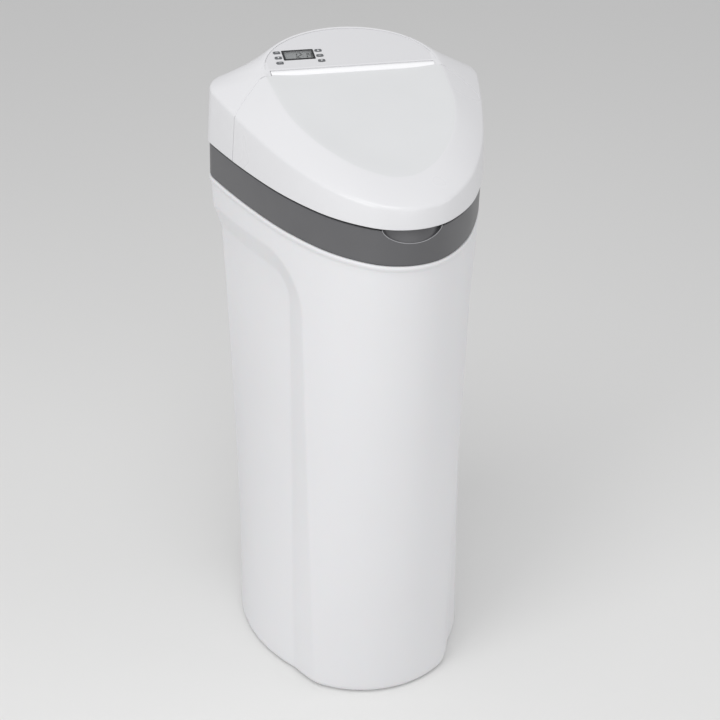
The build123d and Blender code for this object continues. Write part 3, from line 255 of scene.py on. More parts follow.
@dataclass(frozen=True)
class Speckled(Finish):
    """Small cells of two tones: resin beads, or pads on a circuit board."""

    cell_mm: float = 2.0
    depth_mm: float = 0.4

    def shader(self, tree: Tree, place: Socket) -> Node:
        """Adds the cells with their relief."""
        settings = {"Scale": 1 / (self.cell_mm * MM)}
        cells = add_node(tree, "TexVoronoi", settings, {"Vector": place}).outputs["Distance"]
        return add_node(tree, "BsdfPrincipled", {"Roughness": self.roughness}, {
            "Base Color": ramp(tree, cells, self.base, self.shade),
            "Normal": relief(tree, cells, strength=0.6, depth_mm=self.depth_mm, invert=True)})


# Rotational and blow mouldings in polyethylene scatter light softly and stay a little uneven
TANK_SKIN = Moulding("moulded_polyethylene_tank", "#E1E1E3", "#DCDCDE", 0.46, cloud_mm=240.0, grain_mm=2.4,
                     grain_depth_mm=0.05, subsurface=0.04)
# Injection-moulded ABS with a satin spark finish
HOOD_SKIN = Moulding("satin_abs_hood", "#DDDDDF", "#D9D9DB", 0.28, cloud_mm=160.0, grain_mm=1.2)
# the scoop's tone, a touch darker than the hood's, is painted shade; its matt grain and roughness are real
SCOOP_SKIN = Moulding("textured_abs_scoop_painted_shade", "#DADBDC", "#D5D6D7", 0.50, cloud_mm=120.0, grain_mm=1.6,
                      grain_depth_mm=0.05)
FACIA_SKIN = Moulding("smooth_abs_facia", "#D6D6D8", "#D3D3D5", 0.30, cloud_mm=140.0, grain_mm=0.9,
                      grain_depth_mm=0.008)
# Dark grey polypropylene with an even matt grain
BAND_SKIN = Moulding("grained_polypropylene_band", "#5E5E60", "#58585A", 0.38, cloud_mm=60.0, grain_mm=1.1,
                     grain_depth_mm=0.03)
# Small pieces: the keys, the prints, the hinge's barrel and a light grey bead along the edge of the finger
# pull, which is a painted highlight
KEY_SKIN = Moulding("silicone_keys", "#626467", "#5B5D60", 0.55, cloud_mm=20.0)
DISPLAY_INK = Moulding("dark_display_ink", "#1C1D1F", "#212224", 0.5, cloud_mm=10.0)
KEY_PRINT = Moulding("pale_key_print", "#E4E5E6", "#DCDDDE", 0.5, cloud_mm=10.0)
# the barrel's white is lighter than the hood's as a painted highlight; its low roughness is real gloss
BARREL_SKIN = Moulding("polished_abs_barrel_painted_highlight", "#F0F0F1", "#ECECEE", 0.22, cloud_mm=60.0)
PULL_HIGHLIGHT_SKIN = Moulding("painted_highlight_pull_edge", "#A2A2A5", "#98989B", 0.35, cloud_mm=30.0)
FINISHES = {
    "tank_white": TANK_SKIN, "band_grey": BAND_SKIN, "hood_white": HOOD_SKIN, "facia_white": FACIA_SKIN,
    "window": ClearPane("acrylic_window", "#C9CCCB", "#C9CCCB", 0.08, 0.06),
    "display": Moulding("liquid_crystal_glass", "#8A8C8D", "#868889", 0.25, cloud_mm=30.0,
                        grain_depth_mm=0.0),
    "button_grey": KEY_SKIN,
    "board": Speckled("circuit_board", "#1D5A34", "#2C7A48", 0.45, 3.0, 0.02),
    "steel": Metal("zinc_plated_steel", "#C8C9CB", "#A9ABAE", 0.32),
    "vessel": WoundFibre("wound_glass_fibre", "#D8D3C0", "#BEB79E", 0.35),
    "black_plastic": Moulding("black_polypropylene", "#1C1C1D", "#242425", 0.55, cloud_mm=40.0),
    "pipe_white": Moulding("white_pvc_pipe", "#E4E4E1", "#DCDCD8", 0.40, cloud_mm=60.0),
    "resin": Speckled("ion_exchange_beads", "#B8742E", "#7A4A1C", 0.35),
    "valve_black": Moulding("glass_filled_nylon", "#26272A", "#303135", 0.50, cloud_mm=18.0, grain_mm=0.8,
                            grain_depth_mm=0.04),
    "seal": Moulding("nitrile_rubber", "#141414", "#1C1C1C", 0.60, cloud_mm=15.0),
    "gear_white": Moulding("natural_acetal", "#ECE9DF", "#E3DFD2", 0.38, cloud_mm=25.0, subsurface=0.05),
    "motor_steel": Metal("zinc_plated_can", "#BFC1C4", "#9C9FA3", 0.36),
    "nozzle": Moulding("blue_acetal", "#3E6FB0", "#3763A0", 0.40, cloud_mm=12.0),
    "well_white": Moulding("extruded_white_tube", "#DEDFDD", "#D5D7D4", 0.42, cloud_mm=80.0),
    "float_plastic": Moulding("hollow_orange_float", "#C4572F", "#B24E29", 0.45, cloud_mm=30.0),
    "hose": Moulding("translucent_brine_tube", "#D9DCDD", "#CDD1D3", 0.30, cloud_mm=30.0, subsurface=0.2),
    "clip_plastic": Moulding("red_acetal", "#A3302A", "#932A25", 0.42, cloud_mm=20.0),
}


# Mesh work


def settle() -> None:
    """Leaves edit mode and deselects everything."""
    if bpy.context.object and bpy.context.object.mode != "OBJECT":
        bpy.ops.object.mode_set(mode="OBJECT")
    bpy.ops.object.select_all(action="DESELECT")


def make_active(piece: Piece) -> None:
    """Selects one object alone and makes it active."""
    settle()
    piece.select_set(True)
    bpy.context.view_layer.objects.active = piece


def cap(piece: Piece, depth: int) -> None:
    """Closes the ring at a level with a face, in edit mode."""
    bpy.ops.mesh.select_mode(type="VERT")
    bpy.ops.mesh.select_all(action="DESELECT")
    mesh = bmesh.from_edit_mesh(piece.data)
    level = mesh.verts.layers.int["level"]
    for vertex in mesh.verts:
        vertex.select_set(vertex[level] == depth)
    mesh.select_flush(True)
    bmesh.update_edit_mesh(piece.data)
    bpy.ops.mesh.edge_face_add()


def ring_skin(name: str, rings: Sequence[Ring], weld: float = 0.0) -> Piece:
    """Extrudes a circle primitive through a row of rings.

    Args:
        name: the piece's name.
        rings: rings of points in millimetres, each as long as the first.
        weld: how close the last ring lies to the first where they become one; without it both get a face.

    Returns:
        The closed mesh object, with its place in its mesh.
    """
    settle()
    bpy.ops.mesh.primitive_circle_add(vertices=len(rings[0]), radius=1.0, fill_type="NOTHING")
    piece = bpy.context.object
    piece.name = piece.data.name = name
    bpy.ops.object.mode_set(mode="EDIT")
    bpy.ops.mesh.select_all(action="SELECT")
    mesh = bmesh.from_edit_mesh(piece.data)
    station, level = mesh.verts.layers.int.new("station"), mesh.verts.layers.int.new("level")
    for i, vertex in enumerate(mesh.verts):
        vertex[station] = i
        vertex.co = rings[0][i] * MM
    bmesh.update_edit_mesh(piece.data)
    for depth, ring in enumerate(rings[1:], 1):
        bpy.ops.mesh.extrude_edges_move()
        mesh = bmesh.from_edit_mesh(piece.data)
        station, level = mesh.verts.layers.int["station"], mesh.verts.layers.int["level"]
        for vertex in mesh.verts:
            if vertex.select:
                vertex.co = ring[vertex[station]] * MM
                vertex[level] = depth
        bmesh.update_edit_mesh(piece.data)
    if weld:
        bpy.ops.mesh.select_all(action="SELECT")
        bpy.ops.mesh.remove_doubles(threshold=weld * MM)
    else:
        cap(piece, 0)
        cap(piece, len(rings) - 1)
    bpy.ops.mesh.select_all(action="SELECT")
    bpy.ops.mesh.normals_make_consistent(inside=False)
    settle()
    return piece


def combine(piece: Piece, tool: Piece, how: Cut) -> None:
    """Combines a closed mesh with another one, which is then removed.

    Args:
        piece: the mesh that stays.
        tool: the mesh that is used up.
        how: what the second does to the first.
    """
    make_active(piece)
    step = piece.modifiers.new("combine", "BOOLEAN")
    step.operation, step.object, step.solver = how.value, tool, "EXACT"
    bpy.ops.object.modifier_apply(modifier=step.name)
    bpy.data.objects.remove(tool)


def smooth(piece: Piece, angle: float = 32.0) -> Piece:
    """Shades a piece smooth up to an angle between faces."""
    make_active(piece)
    bpy.ops.object.shade_smooth_by_angle(angle=radians(angle))
    return piece


def prism(name: str, outline: Ring, sweep: Vector) -> Piece:
    """A closed prism from an outline and the vector that it is pushed along."""
    return ring_skin(name, [outline, [p + sweep for p in outline]])


def box(name: str, low: Triple, high: Triple) -> Piece:
    """A closed block between two corners."""
    floor = [Vector((x, y, low[2])) for x, y in ((low[0], low[1]), (high[0], low[1]), (high[0], high[1]),
                                                 (low[0], high[1]))]
    return prism(name, floor, Vector((0, 0, high[2] - low[2])))


def circle(centre: Vector, u: Vector, v: Vector, radius: float, count: int) -> Ring:
    """Points round a circle in the plane of two unit vectors."""
    turns = [2 * pi * i / count for i in range(count)]
    return [centre + u * (radius * cos(t)) + v * (radius * sin(t)) for t in turns]


def rod(name: str, start: Vector, end: Vector, radius: float, count: int = 48, edge: float = 0.0) -> Piece:
    """A round rod with softened ends.

    Args:
        name: the piece's name.
        start: centre of one end.
        end: centre of the other.
        radius: the rod's radius.
        count: points round it.
        edge: how far its ends are rounded off.

    Returns:
        The closed mesh object.
    """
    run = (end - start).normalized()
    u = run.orthogonal().normalized()
    v = run.cross(u)
    steps = [(start, radius - edge), (start + run * edge, radius), (end - run * edge, radius),
             (end, radius - edge)]
    if not edge:
        steps = [steps[0], steps[-1]]
    return ring_skin(name, [circle(p, u, v, r, count) for p, r in steps])


def dress(piece: Piece, finishes: Sequence[Material], body: Body | str,
          replaces: Sequence[str] = ()) -> None:
    """Gives a piece its materials and its body, and hides the CAD nodes that it stands for.

    Args:
        piece: the mesh object.
        finishes: one material for each of its slots.
        body: the body that it rides on.
        replaces: names of CAD nodes.
    """
    zones = [face.material_index for face in piece.data.polygons]
    piece.data.materials.clear()
    for finish in finishes:
        piece.data.materials.append(finish)
    if len(finishes) > 1:
        for face, zone in zip(piece.data.polygons, zones):
            face.material_index = zone
    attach(piece, body.value if isinstance(body, Body) else body)
    if replaces:
        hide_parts(*replaces)
    LOG.info("%s: %d faces on %s", piece.name, len(piece.data.polygons), body)


# Outlines


def along(point: Pair, angle: float, distance: float) -> Pair:
    """The point at a distance from another, in the direction of an angle in degrees."""
    return point[0] + distance * cos(radians(angle)), point[1] + distance * sin(radians(angle))


def ring_by_angle(half: Sequence[Vector]) -> Ring:
    """Turns half an outline, front to back, into a whole ring of stations at even angles.

    Args:
        half: points of the right half, dense enough to be read as straight runs.

    Returns:
        STATIONS points, mirrored left and right.
    """
    keys = [atan2(p.x, -(p.y - CENTRE.y)) for p in half]
    ring = []
    for i in range(STATIONS):
        turn = 2 * pi * i / STATIONS
        side = 1.0 if turn <= pi else -1.0
        turn = turn if turn <= pi else 2 * pi - turn
        k = min(max(bisect_right(keys, turn), 1), len(keys) - 1)
        share = (turn - keys[k - 1]) / max(keys[k] - keys[k - 1], 1e-9)
        point = half[k - 1].lerp(half[k], min(max(share, 0.0), 1.0))
        ring.append(Vector((side * point.x, point.y, point.z)))
    return ring


@dataclass(frozen=True)
class EggPlan:
    """Plan outline of tangent arcs from the nose along the side, then a corner and the back."""

    front: float
    arcs: tuple[Pair, ...]
    corner: float
    back: float
    steps: int = 60

    def half(self, inset: float) -> list[Vector]:
        """Dense points of the right half at an inset, front to back."""
        turn, radius = -90.0, self.arcs[0][0]
        centre = (0.0, self.front + radius)
        runs = []
        for next_radius, sweep in self.arcs:
            centre, radius = along(centre, turn, radius - next_radius), next_radius
            runs.append((centre, radius, turn, turn + sweep))
            turn += sweep
        corner = along(centre, turn, radius - self.corner)
        back = (0.0, corner[1] - sqrt((self.back - self.corner) ** 2 - corner[0] ** 2))
        last = degrees(atan2(corner[1] - back[1], corner[0]))
        runs += [(corner, self.corner, turn, last), (back, self.back, last, 90.0)]
        points = []
        for centre, radius, start, end in runs:
            for i in range(self.steps):
                x, y = along(centre, start + (end - start) * i / self.steps, radius - inset)
                points.append(Vector((x, y, 0.0)))
        return points + [Vector((0.0, back[1] + self.back - inset, 0.0))]

    def ring(self, inset: float, z: float = 0.0) -> Ring:
        """Stations of the outline at an inset and a height."""
        return [Vector((p.x, p.y, z)) for p in ring_by_angle(self.half(inset))]

    def rings(self, profile: Sequence[Pair]) -> list[Ring]:
        """One ring for each inset and height of a profile."""
        return [self.ring(inset, z) for inset, z in profile]


TOP_PLAN = EggPlan(-232.0, ((104.6, 37.8), (246.7, 21.5), (604.4, 11.4), (1500.0, 7.0)), 50.0, 600.0)
FOOT_PLAN = EggPlan(-212.0, ((178.0, 44.0), (278.0, 64.0)), 90.0, 350.0)


def outward(ring: Ring) -> Ring:
    """Unit vectors that point out of a ring in plan."""
    found = []
    for i, point in enumerate(ring):
        run = ring[(i + 1) % len(ring)] - ring[i - 1]
        normal = Vector((run.y, -run.x, 0.0)).normalized()
        found.append(normal if normal.dot(point - CENTRE) > 0 else -normal)
    return found


def rounded_path(points: Sequence[Vector], radii: Sequence[float], steps: int) -> list[Vector]:
    """A path through points whose inner corners are rounded.

    Args:
        points: the path's corners.
        radii: how far from each inner corner its round begins.
        steps: points on each round, less one.

    Returns:
        The new path.
    """
    path = [points[0]]
    for before, corner, after, reach in zip(points, points[1:], points[2:], radii):
        start = corner + (before - corner).normalized() * min(reach, (before - corner).length / 2)
        end = corner + (after - corner).normalized() * min(reach, (after - corner).length / 2)
        for k in range(steps + 1):
            t = k / steps
            path.append(start * (1 - t) ** 2 + corner * (2 * t * (1 - t)) + end * t ** 2)
    return path + [points[-1]]


def ease(share: float) -> float:
    """Soft step from 0 to 1."""
    share = min(max(share, 0.0), 1.0)
    return share * share * (3 - 2 * share)


def chamfer(share: float, edge: float) -> float:
    """Straight ramp from 0 to 1 whose two ends are rounded over an edge share."""
    if share <= -edge:
        return 0.0
    if share < edge:
        return (share + edge) ** 2 / (4 * edge)
    if share < 1 - edge:
        return share
    if share < 1 + edge:
        return 1 - (1 + edge - share) ** 2 / (4 * edge)
    return 1.0


# Sub-assemblies


@dataclass
class SaltTank:
    """The white tub: a front column that stands proud of sides set back behind a soft step."""

    wall: float = 4.0
    shoulder_z: float = 832.0
    lip_h: float = 48.0
    lip_edge: float = 1.0
    edge_r: float = 12.0
    outer_steps: int = 6
    inner_steps: int = 4
    shoulder_inset: float = 4.0
    lip_inset: float = 7.5
    bow: float = 3.0
    roll: tuple[Pair, ...] = (
        (14.0, 4.2), (10.8, 3.6), (9.8, 2.7), (8.2, 2.0), (6.2, 1.7), (4.3, 1.9), (2.9, 2.6), (2.3, 3.6),
        (2.1, 5.0), (2.1, 7.5))
    roll_room: float = 22.0
    recess_depth: float = 14.0
    recess_rear: float = 9.0
    recess_rear_y: float = 120.0
    recess_rear_run: float = 80.0
    recess_foot_y: float = -169.5
    recess_lean: float = 0.077
    recess_top_z: float = 786.0
    recess_fall: float = 0.045
    recess_corner: float = 80.0
    step_w: float = 40.0
    step_edge: float = 0.06
    ring_step: float = 12.0
    fine_step: float = 3.5
    fine_from_z: float = 630.0
    inner_step: float = 24.0
    hole: Triple = (118.0, 201.0, 700.0)
    hole_r: float = 10.0
    hole_turn: float = 13.0
    hole_reach: float = 30.0
    notch_low: Triple = (-53.5, -292.0, 850.2)
    notch_high: Triple = (53.5, -172.0, 940.0)

    def recess(self, y: float, z: float) -> float:
        """How far the wall is set back at a place: nothing, then a chamfer, then the full depth."""
        behind = y - self.recess_foot_y - z * self.recess_lean
        below = self.recess_top_z - self.recess_fall * max(y, 0.0) - z
        reach = self.recess_corner
        inside = min(behind, below)
        if behind < reach and below < reach:
            inside = reach - hypot(reach - behind, reach - below)
        rearward = ease((y - self.recess_rear_y) / self.recess_rear_run)
        depth = self.recess_depth + (self.recess_rear - self.recess_depth) * rearward
        return depth * chamfer(inside / self.step_w, self.step_edge)

    def wall_ring(self, z: float, edge: float, inset: float) -> Ring:
        """One ring of the wall, with the recess taken off it."""
        share = min(max((z - self.edge_r) / (self.shoulder_z - self.edge_r), 0.0), 1.0)
        inset += self.bow * sin(pi * share)
        low, high = FOOT_PLAN.ring(edge + inset), TOP_PLAN.ring(self.shoulder_inset + inset)
        ring = [a.lerp(b, share) for a, b in zip(low, high)]
        moved = []
        for point, normal in zip(ring, outward(ring)):
            place = point - normal * self.recess(point.y, z)
            moved.append(Vector((place.x, place.y, z)))
        return moved

    def outer_rings(self) -> list[Ring]:
        """Rings of the outside, from the foot to the rolled edge under the band."""
        rings = []
        for k in range(self.outer_steps + 1):
            turn = radians(90 * k / self.outer_steps)
            level, inset = self.edge_r * (1 - cos(turn)), self.edge_r * (1 - sin(turn))
            rings.append(self.wall_ring(level, inset, 0.0))
        z = self.edge_r
        while z < self.shoulder_z - self.roll_room:
            z += self.ring_step if z < self.fine_from_z else self.fine_step
            rings.append(self.wall_ring(z, 0.0, 0.0))
        return rings + TOP_PLAN.rings([(inset, self.shoulder_z - drop) for drop, inset in self.roll])

    def lip_rings(self) -> list[Ring]:
        """Rings up the outside of the lip, over its softened edge and down the inside."""
        top, inner = self.shoulder_z + self.lip_h, self.lip_inset + self.wall
        profile = [(self.lip_inset, self.shoulder_z), (self.lip_inset, top - self.lip_edge),
                   (self.lip_inset + self.lip_edge, top), (inner - self.lip_edge, top),
                   (inner, top - self.lip_edge), (inner, self.shoulder_z - self.wall)]
        return TOP_PLAN.rings(profile)

    def inner_rings(self) -> list[Ring]:
        """Rings of the inside, from under the lip to the floor."""
        rings = []
        z = self.shoulder_z - 3 * self.wall
        while z > 2 * self.edge_r:
            rings.append(self.wall_ring(z, 0.0, self.wall))
            z -= self.inner_step
        for k in range(self.inner_steps + 1):
            turn = radians(90 * k / self.inner_steps)
            level = self.wall + self.edge_r * (1 - sin(turn))
            rings.append(self.wall_ring(level, self.edge_r * (1 - cos(turn)), self.wall))
        return rings

    def build(self, finish: Material) -> None:
        """Builds the tub with its overflow hole and the notch behind the finger pull."""
        tub = ring_skin("salt_tank", self.outer_rings() + self.lip_rings() + self.inner_rings())
        turn, middle = radians(self.hole_turn), Vector(self.hole)
        reach = Vector((sin(turn), cos(turn), 0.0)) * self.hole_reach
        combine(tub, rod("tank_hole", middle - reach, middle + reach, self.hole_r), Cut.TAKE_AWAY)
        combine(tub, box("lip_notch", self.notch_low, self.notch_high), Cut.TAKE_AWAY)
        dress(smooth(tub), [finish], Body.CABINET, ["brine_tank"])


@dataclass
class RimBand:
    """The grey collar with the landing for the lid, its shadow groove and the finger pull."""

    low_z: float = 832.0
    high_z: float = 889.7
    lip_z: float = 880.0
    inset: float = 3.0
    inner_inset: float = 7.2
    flange: float = 24.0
    edge: float = 0.9
    foot_drop: float = 1.9
    foot_step: float = 1.8
    groove_h: float = 3.6
    groove_w: float = 6.0
    pull_steps: int = 64
    pull_half_w: float = 46.0
    pull_drop: float = 22.5
    pull_edge: float = 1.2
    pull_depth: float = 8.5
    pull_wall: float = 2.5
    pull_y: float = -180.0
    pull_reach: float = 80.0
    pull_over: float = 20.0
    core_below: float = 30.0
    core_above: float = 40.0
    facet_angle: float = 3.0
    skin_depth: float = 0.01
    bead_r: float = 0.55
    bead_sink: float = 0.3
    bead_sides: int = 10
    bead_steps: int = 96
    bead_end: int = 3
    weld: float = 0.01

    def pull(self, grow: float) -> Piece:
        """Prism of half an ellipse that hangs from the top edge, grown all round."""
        turns = [pi + pi * i / self.pull_steps for i in range(self.pull_steps + 1)]
        half, drop = self.pull_half_w + grow, self.pull_drop + grow
        outline = [Vector((half * cos(t), self.pull_y, self.high_z + drop * sin(t))) for t in turns]
        if not grow:
            over = self.high_z + self.pull_over
            outline += [Vector((half, self.pull_y, over)), Vector((-half, self.pull_y, over))]
        return prism("pull", outline, Vector((0.0, -self.pull_reach, 0.0)))

    def core(self, low: float, high: float) -> Piece:
        """Solid of the band's plan, set in further at the top than at the bottom."""
        foot, low, high = self.high_z - self.pull_drop, self.inset + low, self.inset + high
        profile = [(low, foot - self.core_below), (low, foot), (high, self.high_z),
                   (high, self.high_z + self.core_above)]
        return ring_skin("core", TOP_PLAN.rings(profile))

    def collar(self) -> Piece:
        """The plain collar, turned round its own profile and closed into a ring."""
        step, outer = self.high_z - self.groove_h, self.inset + self.edge
        inner, landing = self.inset + self.groove_w, self.inset + self.flange
        foot, toe = self.low_z - self.foot_drop, self.inset + self.foot_step
        profile = [(self.inner_inset, self.lip_z), (self.inner_inset, foot), (toe, foot), (toe, self.low_z),
                   (outer, self.low_z), (self.inset, self.low_z + self.edge), (self.inset, step - self.edge),
                   (outer, step), (inner, step), (inner, self.high_z), (landing - self.edge, self.high_z),
                   (landing, self.high_z - self.edge), (landing, self.lip_z)]
        return ring_skin("rim_collar", TOP_PLAN.rings(profile + profile[:1]), self.weld)

    def bead(self, finish: Material) -> None:
        """Builds a fine bead along the arc of the finger pull, in a light grey that paints the highlight on
        its edge.
        """
        face = TOP_PLAN.half(self.inset)
        out = Vector((0.0, -1.0, 0.0))
        rings = []
        for k in range(self.bead_end, self.bead_steps - self.bead_end + 1):
            turn = pi + pi * k / self.bead_steps
            x, z = self.pull_half_w * cos(turn), self.high_z + self.pull_drop * sin(turn)
            after = next(i for i, p in enumerate(face) if p.x >= abs(x))
            before, beyond = face[max(after - 1, 0)], face[after]
            share = (abs(x) - before.x) / max(beyond.x - before.x, 1e-9)
            y = before.y + (beyond.y - before.y) * min(max(share, 0.0), 1.0)
            run = Vector((-self.pull_half_w * sin(turn), 0.0, self.pull_drop * cos(turn))).normalized()
            rings.append(circle(Vector((x, y + self.bead_sink, z)), out, run.cross(out), self.bead_r,
                                self.bead_sides))
        # the bead's light grey is a painted highlight along the pull's edge
        dress(smooth(ring_skin("pull_edge", rings)), [finish], Body.CABINET)

    def build(self, finish: Material, highlight_finish: Material) -> None:
        """Builds the band with its finger pull and dresses it."""
        band = self.collar()
        pocket = self.pull(self.pull_wall)
        back = self.pull_depth + self.pull_wall
        combine(pocket, self.core(back, back), Cut.TAKE_AWAY)
        front = prism("front_form", TOP_PLAN.ring(self.inset + self.skin_depth, self.low_z),
                      Vector((0, 0, self.high_z - self.groove_h - self.low_z)))
        combine(pocket, front, Cut.KEEP_COMMON)
        combine(band, pocket, Cut.ADD)
        tool = self.pull(0.0)
        combine(tool, self.core(self.pull_edge, self.pull_depth), Cut.TAKE_AWAY)
        combine(band, tool, Cut.TAKE_AWAY)
        dress(smooth(band, self.facet_angle), [finish], Body.CABINET, ["rim_band"])
        self.bead(highlight_finish)


@dataclass
class Hood:
    """Form shared by the lid and the console: skirt, crease, sloping shoulder and the edge of the top."""

    seat_z: float = 890.0
    seat_edge: float = 0.8
    crease_inset: float = 4.0
    crease_z: float = 950.6
    crease_y: float = -32.6
    crease_rise: float = 0.1444
    scoop_z: float = 939.0
    scoop_y: float = -198.0
    scoop_rise: float = 0.239
    facia_y: float = 120.0
    facia_z: float = 1015.0
    facia_tilt: float = 19.0
    facia_half_w: float = 146.0
    facia_depth: float = 100.0
    edge_points: tuple[Pair, ...] = (
        (0, -170), (16, -168), (32, -161), (47, -151), (61, -139), (74, -124), (87, -106), (99, -87),
        (110, -66), (120, -43), (128, -20), (134, 2), (138, 24), (141, 50), (143, 76), (145, 100))
    split_foot_y: float = 66.0
    split_kink_z: float = 965.0
    split_step_y: float = 106.0
    split_step_z: float = 1007.0
    corner_steps: int = 12
    curve_steps: int = 10
    wall_shares: Triple = (0.6, 0.9, 0.7)
    round_steps: int = 4
    seat_round: float = 0.5
    crease_round: float = 4.5
    shoulder_round: float = 60.0
    edge_round: float = 5.0
    console_round: float = 15.0
    console_run: float = 20.0
    bulge: float = 2.0
    dish_reach: float = 0.4
    inner_shares: tuple[float, ...] = (0.05, 0.1, 0.18, 0.28, 0.4, 0.55, 0.7, 0.85, 0.96)
    region_front: float = -500.0
    region_top: float = 1200.0
    region_below: float = 60.0
    region_half_w: float = 400.0

    def scoop_level(self, y: float) -> float:
        """Height of the scoop's plane."""
        return self.scoop_z + (y - self.scoop_y) * self.scoop_rise

    def facia_level(self, y: float) -> float:
        """Height of the facia's plane."""
        return self.facia_z + (y - self.facia_y) * tan(radians(self.facia_tilt))

    def edge_half(self) -> list[Vector]:
        """Dense points of the top's edge, front to back, as a smooth curve through the given points."""
        given = [Vector((x, y, 0.0)) for x, y in self.edge_points]
        for k in range(self.corner_steps + 1):
            turn = radians(90 * k / self.corner_steps)
            depth = self.facia_depth * sin(turn) * cos(radians(self.facia_tilt))
            given.append(Vector((self.facia_half_w * cos(turn), self.facia_y + depth, 0.0)))
        first = Vector((-given[1].x, given[1].y, 0.0))
        last = Vector((-given[-2].x, given[-2].y, 0.0))
        ends = [first] + given + [last]
        dense = []
        for a, b, c, d in zip(ends, ends[1:], ends[2:], ends[3:]):
            for i in range(self.curve_steps):
                t = i / self.curve_steps
                dense.append(0.5 * (2 * b + (c - a) * t + (2 * a - 5 * b + 4 * c - d) * t ** 2
                                    + (3 * b - a - 3 * c + d) * t ** 3))
        return dense + [given[-1]]

    def edge_level(self, y: float) -> float:
        """Height of the top's edge, which follows whichever plane is higher."""
        return max(self.scoop_level(y), self.facia_level(y))

    def rings(self, level: Callable[[float], float], middle: Pair, dish: float,
              depth: float) -> tuple[list[Ring], int]:
        """Rings of the form from the seat to the middle of the top.

        Args:
            level: height of the top at a Y.
            middle: where the last ring closes, in plan.
            dish: how deep the top is dished.
            depth: how far inside the outer face the rings lie.

        Returns:
            The rings, and the number of the ring where the top begins.
        """
        sink, crease_in, edge_in = (depth * share for share in self.wall_shares)
        seat = TOP_PLAN.ring(depth or self.seat_edge, self.seat_z)
        low = TOP_PLAN.ring(depth, self.seat_z + self.seat_edge)
        crease = [Vector((p.x, p.y, self.crease_z + (p.y - self.crease_y) * self.crease_rise - sink))
                  for p in TOP_PLAN.ring(self.crease_inset + crease_in)]
        line = ring_by_angle(self.edge_half())
        edge = [Vector((p.x - n.x * edge_in, p.y - n.y * edge_in, self.edge_level(p.y) - depth))
                for p, n in zip(line, outward(line))]
        paths = []
        for s, a, b, c in zip(seat, low, crease, edge):
            inner = []
            for share in self.inner_shares:
                x, y = c.x + (middle[0] - c.x) * share, c.y + (middle[1] - c.y) * share
                inner.append(Vector((x, y, level(y) - depth - dish * ease(share / self.dish_reach))))
            out = Vector((b.x - CENTRE.x, b.y - CENTRE.y, self.shoulder_round)).normalized()
            softer = ease((c.y - self.split_step_y) / self.console_run)
            edge_round = self.edge_round + (self.console_round - self.edge_round) * softer
            corners = [s, a, b, (b + c) / 2 + out * self.bulge, c, inner[0]]
            rounds = [self.seat_round, self.crease_round, self.shoulder_round, edge_round]
            paths.append(rounded_path(corners, rounds, self.round_steps) + inner[1:])
        count = len(paths[0])
        rings = [[path[k] for path in paths] for k in range(count)]
        return rings, count - len(self.inner_shares) - 2

    def shell(self, name: str, level: Callable[[float], float], middle: Pair, dish: float,
              wall: float) -> tuple[Piece, int]:
        """The hollow form, open below.

        Args:
            name: the piece's name.
            level: height of the top at a Y.
            middle: where the rings close, in plan.
            dish: how deep the top is dished.
            wall: its wall.

        Returns:
            The closed mesh, and how many of its first rings lie on the top.
        """
        outer, top_start = self.rings(level, middle, dish, 0.0)
        inner, _ = self.rings(level, middle, dish, wall)
        return ring_skin(name, list(reversed(outer)) + inner), len(outer) - top_start

    def front_region(self, gap: float) -> Piece:
        """Prism that holds everything in front of the split."""
        low, foot, step = self.seat_z - self.region_below, self.split_foot_y + gap, self.split_step_y + gap
        profile = [(self.region_front, low), (foot, low), (foot, self.split_kink_z),
                   (step, self.split_step_z), (step, self.region_top), (self.region_front, self.region_top)]
        outline = [Vector((-self.region_half_w, y, z)) for y, z in profile]
        return prism("front_region", outline, Vector((2 * self.region_half_w, 0.0, 0.0)))


@dataclass(frozen=True)
class Hinge:
    """Where the lid turns, and the sizes of its barrel and pins."""

    y: float = 114.0
    z: float = 1008.0
    barrel_r: float = 7.0
    barrel_half: float = 134.0
    barrel_edge: float = 0.8
    barrel_room: float = 7.9
    pin_from: float = 119.0
    pin_to: float = 160.0
    pin_bore_r: float = 2.55
    pin_r: float = 2.5
    pin_sides: int = 24

    def at(self, x: float) -> Vector:
        """The place on the axis at an X."""
        return Vector((x, self.y, self.z))


@dataclass
class SaltLid:
    """The hinged lid with its sloping scoop and the barrel of its hinge."""

    hood: Hood = field(default_factory=Hood)
    hinge: Hinge = field(default_factory=Hinge)
    wall: float = 3.0
    dish: float = 3.0
    gap: float = 0.8
    middle: Pair = (0.0, 20.0)
    tongue_y: float = 60.0
    tongue_top: float = 1100.0

    def build(self, skin: Material, scoop: Material, polish_and_highlight: Material) -> None:
        """Builds the lid and its barrel and dresses them."""
        hood, hinge = self.hood, self.hinge
        lid, top_count = hood.shell("hinged_lid", hood.scoop_level, self.middle, self.dish, self.wall)
        lid.data.materials.append(skin)
        lid.data.materials.append(scoop)
        level = lid.data.attributes["level"].data
        # the top's faces take the scoop's finish, whose darker tone is painted shade
        for face in lid.data.polygons:
            if max(level[v].value for v in face.vertices) < top_count:
                face.material_index = 1
        region = hood.front_region(-self.gap)
        tongue = box("tongue", (-hinge.barrel_half, self.tongue_y, hinge.z - hinge.barrel_r),
                     (hinge.barrel_half, hinge.y, self.tongue_top))
        combine(region, tongue, Cut.ADD)
        combine(lid, region, Cut.KEEP_COMMON)
        dress(smooth(lid), [skin, scoop], Body.LID, ["salt_lid"])
        self.barrel(polish_and_highlight)

    def barrel(self, finish: Material) -> None:
        """Builds the hinge's barrel with a bore for the pin at each end."""
        hinge, half = self.hinge, self.hinge.barrel_half
        barrel = rod("hinge_barrel", hinge.at(-half), hinge.at(half), hinge.barrel_r, edge=hinge.barrel_edge)
        for side in (-1.0, 1.0):
            pin = rod("pin_bore", hinge.at(side * hinge.pin_from), hinge.at(side * hinge.pin_to),
                      hinge.pin_bore_r, hinge.pin_sides)
            combine(barrel, pin, Cut.TAKE_AWAY)
        dress(smooth(barrel), [finish], Body.LID)


